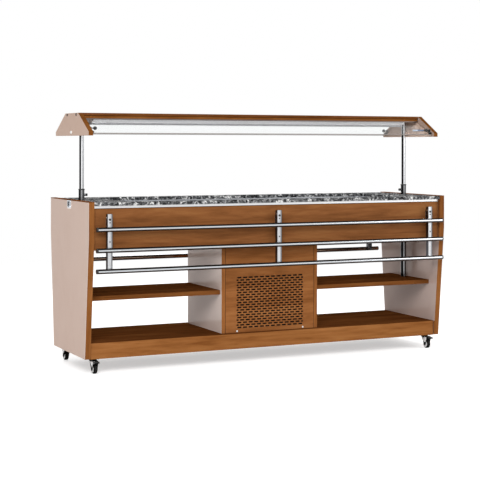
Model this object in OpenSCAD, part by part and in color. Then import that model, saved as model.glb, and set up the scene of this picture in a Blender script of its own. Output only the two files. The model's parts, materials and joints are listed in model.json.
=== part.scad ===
// Mobile salad bar on casters, with a canopy on telescopic posts and folding tray slides.
// Millimetres, +Z up, +X to the right along the length, -Y is the side seen in the photograph.
// The origin is on the floor under the middle of the cabinet.

/* [Overall] */
// Width over the outer faces of the two side panels
overall_w = 2171.7; // [2000:0.1:2400]
// Depth over both folded tray slides
overall_d = 741.7; // [735:0.1:760]
// Height from the floor to the top of the canopy
overall_h = 1358.9; // [1340:0.1:1420]

/* [Side panels] */
// Thickness of a side panel
panel_t = 30; // [24:1:36]
// Height of a side panel's top edge above the floor
panel_top_z = 896; // [880:1:910]
// Distance of a side panel's upper front edge in front of the fascia
panel_lip = 17.45; // [16:0.05:22]
// Height at which a side panel starts to taper
panel_bend_z = 711.5; // [650:0.5:760]
// Set-back of a side panel's foot from its upper front edge
panel_taper = 60; // [30:1:64]
// Height of a side panel's foot above the floor
panel_foot_z = 80; // [78:1:84]
// Width of the recessed steel cup in a side panel
cup_w = 58; // [48:1:70]
// Height of the recessed steel cup
cup_h = 32; // [26:1:36]
// Depth of the recessed steel cup
cup_depth = 14; // [10:1:18]

/* [Base] */
// Height of the deck's top face
deck_z = 162; // [155:1:175]
// Thickness of the deck board
deck_t = 24; // [18:1:30]
// Set-back of a plinth from a side panel's foot
plinth_inset = 4.5; // [1:0.5:10]
// Thickness of a plinth board
plinth_t = 18; // [15:1:22]
// Height of a plinth's lower edge above the floor
plinth_foot_z = 78; // [77:0.5:80]
// Length of a caster block along X
block_l = 100; // [90:1:120]
// Width of a caster block along Y
block_w = 100; // [90:1:110]

/* [Shelves] */
// Height of a shelf's top face
shelf_z = 397.5; // [360:0.5:420]
// Thickness of a shelf
shelf_t = 24; // [18:1:28]
// Set-back of a shelf from the front of the machine box
shelf_inset = 20; // [10:1:35]

/* [Machine box] */
// Width over the two walls of the machine box
box_w = 592; // [560:1:620]
// Set-back of the machine box from a plinth's outer face
box_inset = 30; // [25:1:38]
// Thickness of a machine box wall
box_wall_t = 22.5; // [18:0.5:25]
// Thickness of a slotted panel
box_panel_t = 18; // [12:1:20]
// Shadow gap round a slotted panel
box_panel_gap = 1.5; // [0.5:0.1:2]
// Rows of slots
slot_rows = 21; // [15:2:23]
// Slots in a full row
slot_cols = 12; // [8:1:13]
// Length of a slot
slot_l = 25; // [20:0.5:28]
// Height of a slot
slot_h = 8; // [5:0.1:9]
// Distance between slots along a row
slot_pitch_x = 34.3; // [30:0.1:36]
// Distance between rows of slots
slot_pitch_z = 13.65; // [12:0.05:14]
// Height of the middle of the slots above the floor
slot_mid_z = 326; // [320:1:335]

/* [Counter] */
// Drop of the counter's top below the side panels' top edge
counter_drop = 3.5; // [1:0.5:10]
// Thickness of the granite
counter_t = 18; // [16:1:22]
// Set-back of the granite's long edges from the side panels' top corners
counter_inset = 0.5; // [0:0.1:3]
// Height of the bright trim under the granite
trim_h = 12.5; // [10:0.5:16]
// Thickness of the bright trim
trim_t = 4; // [3:0.5:5]
// Height of a fascia board
fascia_h = 230; // [215:1:240]
// Thickness of a fascia board
fascia_t = 18; // [15:1:19]

/* [Cold well] */
// Granite left at each end of the opening
well_end = 205.85; // [190:0.05:260]
// Distance of the opening's long edge behind the fascia's outer face
well_side = 57.05; // [52:0.05:70]
// Corner radius of the opening
well_r = 25; // [20:1:30]
// Depth of the well below the granite
well_depth = 165; // [120:1:180]
// Sheet thickness of the well liner
liner_t = 2; // [1.5:0.1:3]
// Width of the liner's rim under the granite
liner_rim = 15; // [10:1:20]
// Height of the insulation under the liner
case_floor_t = 40; // [30:1:45]
// Wall of the insulated case at each end
case_end_t = 38; // [30:1:45]

/* [Posts] */
// Outside diameter of a canopy post
post_d = 25.4; // [24:0.2:26]
// Wall of a canopy post
post_wall = 2; // [1.5:0.1:3]
// Distance of a post's axis from a side panel's inner face
post_inset = 39.85; // [38:0.05:80]
// Outside diameter of a guide tube
guide_d = 32; // [31:0.5:33]
// Running clearance between post and guide tube, on the radius
guide_gap = 0.3; // [0.2:0.05:0.5]
// Height of a guide tube above the granite
guide_rise = 54; // [45:1:60]
// Height of a dark collar
collar_h = 7; // [5:0.5:9]
// Wall of a dark collar
collar_wall = 4.4; // [4:0.1:5]
// Length of post below the granite at rest
post_tail = 192; // [180:1:200]

/* [Canopy] */
// Distance from a post's axis to the inner face of its end panel
canopy_spacer = 31; // [26:0.5:40]
// Thickness of a canopy end panel
canopy_end_t = 25; // [20:1:28]
// Depth of the canopy at its lower edge
canopy_d = 564; // [550:1:580]
// Depth of the canopy at its top
canopy_top_d = 219; // [212:1:226]
// Height of a canopy end panel
canopy_h = 121; // [116:1:126]
// Height of the upright edge at the foot of an end panel
canopy_lip = 21; // [16:1:24]
// Thickness of the top board
canopy_top_t = 15; // [12:1:16]
// Height of an edge rail under the top board
canopy_rail_h = 13.4; // [12:0.2:15]
// Thickness of an edge rail
canopy_rail_t = 18; // [15:1:20]
// Gap between the light housing and a canopy end panel
lamp_end_gap = 72; // [60:1:120]
// Height of the light housing below the edge rails
lamp_drop = 30.5; // [25:0.5:32]
// Width of the light housing at its lower face
lamp_w = 90; // [80:1:100]

/* [Glass] */
// Thickness of a glass pane
glass_t = 5; // [4:0.5:6]
// Set-back of a pane's lower edge from the canopy's lower edge
glass_inset = 19; // [16:1:24]
// Height of a pane's lower edge above the canopy's lower edge
glass_low_rise = 9; // [7:0.5:11]

/* [Tray slides] */
// Diameter of a tray rail
rail_d = 25; // [24:0.2:26]
// Wall of a tray rail
rail_wall = 1.5; // [1.2:0.1:2]
// Distance of a tray rail's end inside a side panel's outer face
rail_end_inset = 31; // [20:0.5:60]
// Height of the top rail's axis
rail_top_z = 754; // [740:0.5:760]
// Distance between rails
rail_pitch = 107; // [90:1:108]
// Distance of an outer arm's middle from a side panel's inner face
arm_inset = 77.85; // [60:0.05:120]
// Width of an arm
arm_w = 28; // [27:0.5:32]
// Depth of an arm's channel
arm_depth = 22; // [20:0.5:23]
// Height of an arm's hinge pin
pivot_z = 813; // [808:0.5:816]

/* [Casters] */
// Distance of a caster's swivel axis from a side panel's inner face
caster_inset_x = 30.85; // [30:0.05:60]
// Distance of a caster's swivel axis from a plinth's outer face
caster_inset_y = 48; // [48:1:60]
// Wheel diameter
wheel_d = 50; // [46:1:52]
// Wheel width
wheel_w = 22; // [20:1:24]
// Distance from the swivel axis to the wheel's axle
caster_trail = 24; // [18:1:26]

/* [Hidden] */
$fn = 64;

// Shared clearances
overrun = 1;
turn_gap = 0.05;
face_gap = 0.3;

// Colours
laminate = [0.80, 0.70, 0.65];
wood = [0.52, 0.31, 0.15];
wood_dark = [0.30, 0.16, 0.08];
granite = [0.45, 0.45, 0.45];
steel = [0.80, 0.81, 0.83];
black = [0.06, 0.06, 0.06];
glass_tint = [0.80, 0.88, 0.87, 0.3];
hub_grey = [0.75, 0.75, 0.76];
white = [0.93, 0.93, 0.92];

// Places worked out from the sizes above
inner_x = overall_w / 2 - panel_t;
counter_z = panel_top_z - counter_drop;
counter_under_z = counter_z - counter_t;
well_l = 2 * (inner_x - well_end);

// Cup in a side panel
cup_flange = 4;
cup_flange_t = 1.5;
cup_wall = 1.5;
cup_below = 24;
cup_r = 4;
cup_z = panel_top_z - cup_below;

// Tray slide, seen from its own side: y is the distance out from the middle plane
rail_y = (overall_d - rail_d) / 2;
rail_l = overall_w - 2 * rail_end_inset;
arm_span = inner_x - arm_inset;
rail_seat = 1.2;
web_t = 3;
arm_side_t = 2.5;
pivot_inset = 10;
arm_top_r = 22;
arm_wall_gap = 3;
arm_foot = 8;
arm_round = 7;
web_y = rail_y - rail_d / 2 + rail_seat;
pivot_y = web_y - pivot_inset;
fascia_y = pivot_y - arm_top_r - arm_wall_gap;
panel_top_d = 2 * (fascia_y + panel_lip);
panel_foot_d = panel_top_d - 2 * panel_taper;
counter_d = panel_top_d - 2 * counter_inset;
well_w = 2 * (fascia_y - well_side);
plinth_d = panel_foot_d - 2 * plinth_inset;
box_d = plinth_d - 2 * box_inset;
shelf_d = box_d - 2 * shelf_inset;
web_hole_d = 9;
web_hole_drop = 8.2;
web_pin_hole_d = 4.4;
web_pin_drops = [24.5, 123];
plug_cap_t = 2;
plug_depth = 12;

// Wall bracket of a tray slide
ear_r = 6;
ear_t = 3;
pin_d = 6;
pin_head_d = 9;
pin_head_t = 1.2;
bracket_t = 2.5;
bracket_above = 8;
bracket_below = 60;
bracket_screw_d = 8;
bracket_screw_t = 1.5;
bracket_screw_drops = [26, 48];

// Machine box
box_top_z = counter_under_z - liner_t - well_depth - case_floor_t;
box_in_x = box_w / 2 - box_wall_t;
grille_w = slot_cols * slot_pitch_x;
screw_x = 203;
screw_rise = 8.5;
screw_d = 10;
screw_head_t = 2.5;
screw_shank_d = 4;
screw_shank_l = 14;

// Condensing unit on the deck
tray_w = 420;
tray_d = 360;
tray_t = 3;
tray_lip = 12;
shell_r = 78;
shell_h = 120;
shell_x = 90;
shell_y = 70;
shell_foot_h = 14;
shell_foot_r = 12;
shell_foot_span = 52;
coil_w = 300;
coil_d = 50;
coil_h = 250;
coil_y = -150;
shroud_r = 112;
shroud_wall = 6;
shroud_d = 34;
motor_r = 32;
motor_d = 60;
spoke_w = 10;

// Power inlet in the rear panel
inlet_x = 200;
inlet_z = 215;
inlet_w = 48;
inlet_h = 30;
inlet_flange_t = 2.5;
inlet_body_w = 30;
inlet_body_h = 22;
inlet_body_d = 26;
inlet_pocket_w = 24;
inlet_pocket_h = 16;
inlet_pocket_d = 16;
inlet_blade_w = 2;
inlet_blade_h = 5;
inlet_blade_l = 12;
inlet_blade_span = 7;

// Cold well
liner_under_z = counter_under_z - liner_t;
well_floor_z = liner_under_z - well_depth;
drain_inset = 70;
drain_x = well_l / 2 - drain_inset;
drain_d = 34;
drain_tail = 18;

// Posts, guides and thumb screws
post_x = inner_x - post_inset;
post_foot_z = counter_under_z - post_tail;
guide_id = post_d + 2 * guide_gap;
guide_hole_gap = 0.5;
guide_seat = 10;
guide_foot_z = shelf_z - guide_seat;
guide_top_z = counter_z + guide_rise;
boss_d = 14;
boss_l = 5;
thumb_rise = 28.5;
thumb_z = counter_z + thumb_rise;
thumb_stem_d = 6;
thumb_tip_gap = 0.8;
thumb_head_d = 15;
thumb_head_l = 10;
thumb_neck_l = 1;
thumb_flutes = 8;
thumb_flute_d = 3;

// Canopy
canopy_foot_z = overall_h - canopy_h;
canopy_in_x = post_x + canopy_spacer;
canopy_l = 2 * (canopy_in_x + canopy_end_t);
canopy_board_z = overall_h - canopy_top_t;
canopy_rail_z = canopy_board_z - canopy_rail_h;
lamp_z = canopy_rail_z - lamp_drop;
lamp_l = 2 * (canopy_in_x - lamp_end_gap);
lamp_gap = 1;
lamp_t = 2;
lamp_top_half = canopy_top_d / 2 - canopy_rail_t - lamp_gap;
lens_t = 3;
end_bolt_inset = 33;
end_bolt_y = canopy_top_d / 2 - end_bolt_inset;
end_bolt_d = 12;
end_bolt_shank_d = 5;
end_bolt_head_t = 2;
end_bolt_l = 60;
lamp_screw_d = 7;
lamp_screw_t = 2;
lamp_screw_insets = [17, 45, 180];
cap_rise = 18;
cap_z = canopy_foot_z + cap_rise;
cap_d = 16;
cap_t = 6;
cap_shank_d = 8;

// Glass and what holds it
channel_w = 20;
channel_h = 8;
channel_offset = 2;
channel_y = canopy_top_d / 2 - canopy_rail_t / 2 + channel_offset;
channel_z = canopy_rail_z - channel_h / 2;
glass_slot_gap = 0.2;
glass_end_gap = 0.5;
glass_low_y = canopy_d / 2 - glass_inset;
glass_low_z = canopy_foot_z + glass_low_rise + glass_t / 2;
glass_angle = atan2(channel_z - glass_low_z, glass_low_y - channel_y);
glass_w = norm([channel_z - glass_low_z, glass_low_y - channel_y]);
clip_t = 4;
clip_low = 8;
clip_l = 36;
clip_under = 5.5;
clip_over = 9;
clip_ledge_l = 10;
clip_ledge_w = 16;
clip_ledge_t = 2;
clip_ear_d = 14;
clip_arm_inset = 34;
clip_arm_y = glass_low_y - clip_arm_inset;
clip_arm_h = 9;
bar_inset = 85;
bar_out_y = glass_low_y - bar_inset;
bar_l = 120;
bar_h = 10;
bar_rise = 37;
ball_rise = 38.5;
bar_z = canopy_foot_z + bar_rise;
ball_z = canopy_foot_z + ball_rise;
ball_d = 20;
ball_inset = 25;
ball_y = glass_low_y - ball_inset;
ball_reach = 25;
ball_stem_d = 5;
ball_thread = 12;

// Casters: u runs from the swivel axis out past the wheel
caster_x = inner_x - caster_inset_x;
caster_y = plinth_d / 2 - caster_inset_y;
caster_plate_l = 56;
caster_plate_w = 58;
caster_plate_t = 3;
caster_bolt_d = 8;
caster_bolt_t = 2.5;
caster_bolt_x = 22;
caster_bolt_y = 22;
race_d = 40;
race_h = 6;
kingpin_d = 10;
kingpin_head_d = 15;
kingpin_head_t = 2.5;
crown_t = 3.2;
crown_d = 42;
leg_t = 2.5;
leg_gap = 1.2;
axle_d = 8;
axle_boss_r = 8;
axle_head_t = 2;
axle_head_d = 13;
tread_round = 6;
hub_r = 15;
hub_sink = 2;
hub_core_r = 7;
brake_u = 40;
brake_drop = 9;
brake_pin_d = 5;
brake_barrel_d = 9;
brake_pad_l = 27;
brake_pad_w = 29;
brake_pad_t = 4;
brake_pad_gap = 1.5;
race_z = plinth_foot_z - caster_plate_t - race_h;
crown_z = race_z - face_gap - crown_t;
brake_z = crown_z - brake_drop + crown_t;
fork_in_x = wheel_w / 2 + leg_gap;
fork_out_x = fork_in_x + leg_t;

// A box given by its two corners
module slab(low, high) {
    translate(low)
        cube(high - low);
}

// A rectangle with round corners, centred
module round_rect(w, h, r) {
    square([w - 2 * r, h], center = true);
    square([w, h - 2 * r], center = true);
    for (sx = [-1, 1], sy = [-1, 1])
        translate([sx * (w / 2 - r), sy * (h / 2 - r)])
            circle(r);
}

// A flat outline drawn in Y and Z, given a thickness along X and centred on it
module along_x(length) {
    translate([-length / 2, 0, 0])
        rotate([90, 0, 90])
            linear_extrude(length)
                children();
}

// A flat outline drawn in X and Z, given a thickness along Y and centred on it
module along_y(length) {
    translate([0, length / 2, 0])
        rotate([90, 0, 0])
            linear_extrude(length)
                children();
}

// A rod along X between two places
module rod_x_between(x0, x1, d) {
    translate([x0, 0, 0])
        rotate([0, 90, 0])
            cylinder(h = x1 - x0, d = d);
}

// Both ends, the left one being the pattern
module both_ends() {
    children();
    mirror([1, 0, 0])
        children();
}

// Both long sides, the front one being the pattern
module both_sides() {
    children();
    rotate([0, 0, 180])
        children();
}

// Tapered side panel with the recess of its cup
module side_outline() {
    polygon([
        [-panel_foot_d / 2, panel_foot_z],
        [panel_foot_d / 2, panel_foot_z],
        [panel_top_d / 2, panel_bend_z],
        [panel_top_d / 2, panel_top_z],
        [-panel_top_d / 2, panel_top_z],
        [-panel_top_d / 2, panel_bend_z]
    ]);
}

module side_panel() {
    color(laminate)
        difference() {
            translate([-inner_x - panel_t / 2, 0, 0])
                along_x(panel_t)
                    side_outline();
            translate([-overall_w / 2, 0, cup_z])
                along_x(2 * cup_flange_t)
                    round_rect(cup_w + 2 * cup_flange, cup_h + 2 * cup_flange, cup_r + cup_flange);
            translate([-overall_w / 2, 0, cup_z])
                along_x(2 * cup_depth)
                    round_rect(cup_w, cup_h, cup_r);
        }
}

module side_panel_left() {
    side_panel();
}

module side_panel_right() {
    mirror([1, 0, 0])
        side_panel();
}

// Recessed steel cup, its rim flush with the panel
module cup() {
    difference() {
        union() {
            translate([-overall_w / 2 + cup_flange_t / 2, 0, cup_z])
                along_x(cup_flange_t)
                    round_rect(cup_w + 2 * cup_flange, cup_h + 2 * cup_flange, cup_r + cup_flange);
            translate([-overall_w / 2 + cup_depth / 2, 0, cup_z])
                along_x(cup_depth)
                    round_rect(cup_w, cup_h, cup_r);
        }
        translate([-overall_w / 2, 0, cup_z])
            along_x(2 * (cup_depth - cup_wall))
                round_rect(cup_w - 2 * cup_wall, cup_h - 2 * cup_wall, cup_r - cup_wall);
    }
}

module cups() {
    color(steel)
        both_ends()
            cup();
}

// Deck with its four caster blocks
module deck() {
    color(wood_dark) {
        slab([-inner_x, -plinth_d / 2 + plinth_t, deck_z - deck_t],
            [inner_x, plinth_d / 2 - plinth_t, deck_z]);
        both_ends()
            both_sides_mirrored()
                slab([-inner_x, -plinth_d / 2 + plinth_t, plinth_foot_z],
                    [-inner_x + block_l, -plinth_d / 2 + plinth_t + block_w, deck_z - deck_t]);
    }
}

// Both long sides by a mirror, for pieces that differ from end to end
module both_sides_mirrored() {
    children();
    mirror([0, 1, 0])
        children();
}

module plinths() {
    color(wood)
        both_sides()
            slab([-inner_x, -plinth_d / 2, plinth_foot_z],
                [inner_x, -plinth_d / 2 + plinth_t, deck_z]);
}

// Shelf with the seat of its guide tube
module shelf() {
    color(wood_dark)
        difference() {
            slab([-inner_x, -shelf_d / 2, shelf_z - shelf_t],
                [-box_w / 2, shelf_d / 2, shelf_z]);
            translate([-post_x, 0, guide_foot_z])
                cylinder(h = guide_seat + overrun, d = guide_d + 2 * turn_gap);
        }
}

module shelf_left() {
    shelf();
}

module shelf_right() {
    mirror([1, 0, 0])
        shelf();
}

// Machine box
module box_walls() {
    color(laminate)
        both_ends()
            slab([-box_w / 2, -box_d / 2, deck_z],
                [-box_in_x, box_d / 2, box_top_z]);
}

// Staggered slots, half slots cut off at the sides of every other row
module slot_field() {
    intersection() {
        square([grille_w, slot_rows * slot_pitch_z], center = true);
        for (row = [0 : slot_rows - 1])
            for (col = [0 : slot_cols - 1 + row % 2])
                translate([(col - (slot_cols - 1 + row % 2) / 2) * slot_pitch_x,
                    (row - (slot_rows - 1) / 2) * slot_pitch_z])
                    square([slot_l, slot_h], center = true);
    }
}

// Slotted panel standing between the walls on the deck, on the front side
module slotted_panel() {
    low_z = deck_z + face_gap;
    panel_w = 2 * (box_in_x - box_panel_gap);
    translate([0, -box_d / 2 + box_panel_t / 2, 0])
        along_y(box_panel_t)
            difference() {
                translate([-panel_w / 2, low_z])
                    square([panel_w, box_top_z - low_z]);
                translate([0, slot_mid_z])
                    slot_field();
                for (side = [-1, 1])
                    translate([side * screw_x, deck_z + screw_rise])
                        circle(d = screw_shank_d);
            }
}

module box_front() {
    color(wood)
        slotted_panel();
}

module box_rear() {
    color(wood)
        difference() {
            rotate([0, 0, 180])
                slotted_panel();
            translate([inlet_x, box_d / 2, inlet_z])
                cube([inlet_body_w, 2 * inlet_body_d, inlet_body_h], center = true);
        }
}

module panel_screws() {
    color(steel)
        both_sides()
            both_ends()
                translate([-screw_x, -box_d / 2, deck_z + screw_rise])
                    rotate([90, 0, 0]) {
                        cylinder(h = screw_head_t, d = screw_d);
                        translate([0, 0, -screw_shank_l])
                            cylinder(h = screw_shank_l, d = screw_shank_d);
                    }
}

// Fascia boards and the bright trim over them
module fascias() {
    color(wood)
        both_sides()
            slab([-inner_x, -fascia_y, counter_under_z - fascia_h],
                [inner_x, -fascia_y + fascia_t, counter_under_z]);
}

module trims() {
    color(steel)
        both_sides()
            slab([-inner_x, -fascia_y - trim_t, counter_under_z - trim_h],
                [inner_x, -fascia_y, counter_under_z]);
}

// Granite counter
module counter() {
    color(granite)
        difference() {
            slab([-inner_x, -counter_d / 2, counter_under_z],
                [inner_x, counter_d / 2, counter_z]);
            translate([0, 0, counter_under_z - overrun])
                linear_extrude(counter_t + 2 * overrun)
                    round_rect(well_l, well_w, well_r);
            both_ends()
                translate([-post_x, 0, counter_under_z - overrun])
                    cylinder(h = counter_t + 2 * overrun, d = guide_d + 2 * guide_hole_gap);
        }
}

// Steel liner of the cold well, with the closed stub of its drain
module well_liner() {
    color(steel)
        difference() {
            union() {
                translate([0, 0, liner_under_z])
                    linear_extrude(liner_t)
                        round_rect(well_l + 2 * liner_rim, well_w + 2 * liner_rim, well_r + liner_rim);
                translate([0, 0, well_floor_z - liner_t])
                    linear_extrude(well_depth + 2 * liner_t)
                        round_rect(well_l + 2 * liner_t, well_w + 2 * liner_t, well_r + liner_t);
                translate([-drain_x, 0, box_top_z - drain_tail])
                    cylinder(h = well_floor_z - box_top_z + drain_tail, d = drain_d);
            }
            translate([0, 0, well_floor_z])
                linear_extrude(well_depth + liner_t + overrun)
                    round_rect(well_l, well_w, well_r);
        }
}

// Insulated case between the fascias, under the liner's rim
module well_case() {
    half_x = well_l / 2 + liner_t + case_end_t;
    half_y = fascia_y - fascia_t;
    color(hub_grey)
        difference() {
            slab([-half_x, -half_y, box_top_z],
                [half_x, half_y, liner_under_z]);
            translate([0, 0, well_floor_z - liner_t])
                linear_extrude(well_depth + 2 * liner_t)
                    round_rect(well_l + 2 * liner_t, well_w + 2 * liner_t, well_r + liner_t);
            translate([-drain_x, 0, box_top_z - overrun])
                cylinder(h = case_floor_t + 2 * overrun, d = drain_d);
        }
}

// Condensing unit on a tray behind the front slots
module condensing_unit() {
    color(black)
        translate([0, 0, deck_z]) {
            difference() {
                slab([-tray_w / 2, -tray_d / 2, 0],
                    [tray_w / 2, tray_d / 2, tray_lip]);
                slab([-tray_w / 2 + tray_t, -tray_d / 2 + tray_t, tray_t],
                    [tray_w / 2 - tray_t, tray_d / 2 - tray_t, tray_lip + overrun]);
            }
            for (sx = [-1, 1], sy = [-1, 1])
                translate([shell_x + sx * shell_foot_span, shell_y + sy * shell_foot_span, tray_t])
                    cylinder(h = shell_foot_h, r = shell_foot_r);
            translate([shell_x, shell_y, tray_t + shell_foot_h])
                rotate_extrude()
                    shell_outline();
            slab([-coil_w / 2, coil_y - coil_d / 2, tray_t],
                [coil_w / 2, coil_y + coil_d / 2, tray_t + coil_h]);
            translate([0, coil_y + coil_d / 2, tray_t + coil_h / 2])
                rotate([-90, 0, 0])
                    fan_shroud();
        }
}

// Half outline of the compressor's shell
module shell_outline() {
    square([shell_r, shell_h]);
    translate([0, shell_h])
        scale([1, 1 / 2])
            intersection() {
                circle(shell_r);
                square(shell_r);
            }
}

// Ring, motor and spokes of the condenser's fan
module fan_shroud() {
    difference() {
        cylinder(h = shroud_d, r = shroud_r);
        translate([0, 0, overrun])
            cylinder(h = shroud_d, r = shroud_r - shroud_wall);
    }
    cylinder(h = motor_d, r = motor_r);
    for (turn = [0, 90])
        rotate([0, 0, turn])
            translate([-shroud_r + shroud_wall / 2, -spoke_w / 2, shroud_d - spoke_w])
                cube([2 * shroud_r - shroud_wall, spoke_w, spoke_w / 2]);
}

// Power inlet in the rear panel
module power_inlet() {
    color(black)
        translate([inlet_x, box_d / 2, inlet_z])
            difference() {
                union() {
                    slab([-inlet_w / 2, 0, -inlet_h / 2],
                        [inlet_w / 2, inlet_flange_t, inlet_h / 2]);
                    slab([-inlet_body_w / 2, -inlet_body_d, -inlet_body_h / 2],
                        [inlet_body_w / 2, inlet_flange_t, inlet_body_h / 2]);
                }
                difference() {
                    slab([-inlet_pocket_w / 2, inlet_flange_t - inlet_pocket_d, -inlet_pocket_h / 2],
                        [inlet_pocket_w / 2, inlet_flange_t + overrun, inlet_pocket_h / 2]);
                    for (place = [-1, 0, 1])
                        translate([place * inlet_blade_span, inlet_flange_t - inlet_pocket_d, 0])
                            slab([-inlet_blade_w / 2, 0, -inlet_blade_h / 2],
                                [inlet_blade_w / 2, inlet_blade_l, inlet_blade_h / 2]);
                }
            }
}

// Guide tube from its seat in the shelf through the granite, with the thumb screw's boss
module guide_tube() {
    translate([-post_x, 0, 0])
        difference() {
            union() {
                translate([0, 0, guide_foot_z])
                    cylinder(h = guide_top_z - guide_foot_z, d = guide_d);
                translate([0, 0, thumb_z])
                    rod_x_between(0, guide_d / 2 + boss_l, boss_d);
            }
            translate([0, 0, guide_foot_z - overrun])
                cylinder(h = guide_top_z - guide_foot_z + 2 * overrun, d = guide_id);
            translate([0, 0, thumb_z])
                rod_x_between(0, guide_d / 2 + boss_l + overrun, thumb_stem_d + 2 * turn_gap);
        }
}

module guide_tubes() {
    color(steel)
        both_ends()
            guide_tube();
}

module collars() {
    color(black)
        both_ends()
            translate([-post_x, 0, guide_top_z])
                difference() {
                    cylinder(h = collar_h, d = guide_id + 2 * collar_wall);
                    translate([0, 0, -overrun])
                        cylinder(h = collar_h + 2 * overrun, d = guide_id);
                }
}

// Thumb screw that locks a post, pointing to the middle
module post_knob() {
    head_r = guide_d / 2 + boss_l + thumb_neck_l;
    color(black)
        translate([-post_x, 0, thumb_z]) {
            rod_x_between(post_d / 2 + thumb_tip_gap, head_r + thumb_head_l / 2, thumb_stem_d);
            difference() {
                rod_x_between(head_r, head_r + thumb_head_l, thumb_head_d);
                for (k = [0 : thumb_flutes - 1])
                    rotate([k * 360 / thumb_flutes, 0, 0])
                        translate([0, 0, thumb_head_d / 2])
                            rod_x_between(head_r - overrun, head_r + thumb_head_l + overrun, thumb_flute_d);
            }
        }
}

module post_knob_left() {
    post_knob();
}

module post_knob_right() {
    mirror([1, 0, 0])
        post_knob();
}

// Canopy posts, drilled for the cap bolts
module posts() {
    color(steel)
        both_ends()
            translate([-post_x, 0, 0])
                difference() {
                    translate([0, 0, post_foot_z])
                        cylinder(h = canopy_board_z - post_foot_z, d = post_d);
                    translate([0, 0, post_foot_z - overrun])
                        cylinder(h = canopy_board_z - post_foot_z + 2 * overrun, d = post_d - 2 * post_wall);
                    translate([0, 0, cap_z])
                        rod_x_between(-post_d, 0, cap_shank_d);
                }
}

// Canopy end panel, drilled for its bolts
module canopy_end() {
    color(laminate)
        difference() {
            translate([-canopy_l / 2 + canopy_end_t / 2, 0, 0])
                along_x(canopy_end_t)
                    polygon([
                        [-canopy_d / 2, canopy_foot_z],
                        [canopy_d / 2, canopy_foot_z],
                        [canopy_d / 2, canopy_foot_z + canopy_lip],
                        [canopy_top_d / 2, overall_h],
                        [-canopy_top_d / 2, overall_h],
                        [-canopy_d / 2, canopy_foot_z + canopy_lip]
                    ]);
            translate([0, 0, cap_z])
                rod_x_between(-canopy_l / 2 - overrun, -canopy_in_x + overrun, cap_shank_d);
            for (side = [-1, 1])
                translate([0, side * end_bolt_y, canopy_board_z + canopy_top_t / 2]) {
                    rod_x_between(-canopy_l / 2 - overrun, -canopy_in_x + overrun, end_bolt_shank_d);
                    rod_x_between(-canopy_l / 2 - overrun, -canopy_l / 2 + end_bolt_head_t, end_bolt_d);
                }
            for (side = [-1, 1])
                translate([0, side * ball_y, ball_z])
                    rod_x_between(-canopy_in_x - ball_thread, -canopy_in_x + overrun,
                        ball_stem_d + 2 * turn_gap);
        }
}

module canopy_end_left() {
    canopy_end();
}

module canopy_end_right() {
    mirror([1, 0, 0])
        canopy_end();
}

module canopy_top() {
    color(wood)
        difference() {
            slab([-canopy_in_x, -canopy_top_d / 2, canopy_board_z],
                [canopy_in_x, canopy_top_d / 2, overall_h]);
            both_ends()
                both_sides_mirrored()
                    translate([0, -end_bolt_y, canopy_board_z + canopy_top_t / 2])
                        rod_x_between(-canopy_in_x - overrun, -canopy_l / 2 + end_bolt_l, end_bolt_shank_d);
        }
}

module canopy_rails() {
    color(wood)
        both_sides()
            slab([-canopy_in_x, -canopy_top_d / 2, canopy_rail_z],
                [canopy_in_x, -canopy_top_d / 2 + canopy_rail_t, canopy_board_z]);
}

// Light housing: half outlines of its outside and its inside
module lamp_outline(inset) {
    top = canopy_board_z - inset;
    polygon([
        [-lamp_w / 2 + inset, lamp_z],
        [lamp_w / 2 - inset, lamp_z],
        [lamp_top_half - inset, canopy_rail_z],
        [lamp_top_half - inset, top],
        [-lamp_top_half + inset, top],
        [-lamp_top_half + inset, canopy_rail_z]
    ]);
}

module light_housing() {
    color(hub_grey)
        difference() {
            along_x(lamp_l)
                lamp_outline(0);
            along_x(lamp_l - 2 * lamp_t)
                lamp_outline(lamp_t);
            slab([-lamp_l / 2 + lamp_t, -lamp_w / 2 + lamp_t, lamp_z - overrun],
                [lamp_l / 2 - lamp_t, lamp_w / 2 - lamp_t, lamp_z + lens_t]);
        }
}

module light_lens() {
    color(white)
        slab([-lamp_l / 2 + lamp_t, -lamp_w / 2 + lamp_t, lamp_z],
            [lamp_l / 2 - lamp_t, lamp_w / 2 - lamp_t, lamp_z + lens_t]);
}

// Dark fasteners of the end panels and of the light housing
module canopy_bolts() {
    color(black) {
        both_ends()
            both_sides_mirrored()
                translate([0, -end_bolt_y, canopy_board_z + canopy_top_t / 2]) {
                    rod_x_between(-canopy_l / 2, -canopy_l / 2 + end_bolt_l, end_bolt_shank_d);
                    rod_x_between(-canopy_l / 2, -canopy_l / 2 + end_bolt_head_t, end_bolt_d);
                }
        both_ends()
            for (inset = lamp_screw_insets, side = [-1, 1])
                translate([-lamp_l / 2 + inset, side * (lamp_w / 2 - lamp_screw_d), lamp_z - lamp_screw_t])
                    cylinder(h = lamp_screw_t, d = lamp_screw_d);
    }
}

// White cap, bolt and spacer between an end panel and its post
module post_caps() {
    color(white)
        both_ends()
            translate([0, 0, cap_z])
                difference() {
                    union() {
                        rod_x_between(-canopy_l / 2 - cap_t, -canopy_l / 2, cap_d);
                        rod_x_between(-canopy_l / 2 - cap_t, -post_x - post_d / 2 + post_wall, cap_shank_d);
                        rod_x_between(-canopy_in_x, -post_x, cap_d);
                    }
                    difference() {
                        translate([-post_x, 0, -cap_d])
                            cylinder(h = 2 * cap_d, d = post_d);
                        rod_x_between(-post_x - post_d, -post_x - post_d / 2 + post_wall, cap_shank_d);
                    }
                }
}

// A sloping pane, thick by glass_t plus twice the extra given
module pane(extra, length) {
    on_pane()
        translate([-length / 2, 0, -glass_t / 2 - extra])
            cube([length, glass_w, glass_t + 2 * extra]);
}

module glass_pane() {
    pane(0, 2 * (canopy_in_x - clip_t - glass_end_gap));
}

module glass_front() {
    color(glass_tint)
        glass_pane();
}

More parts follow.
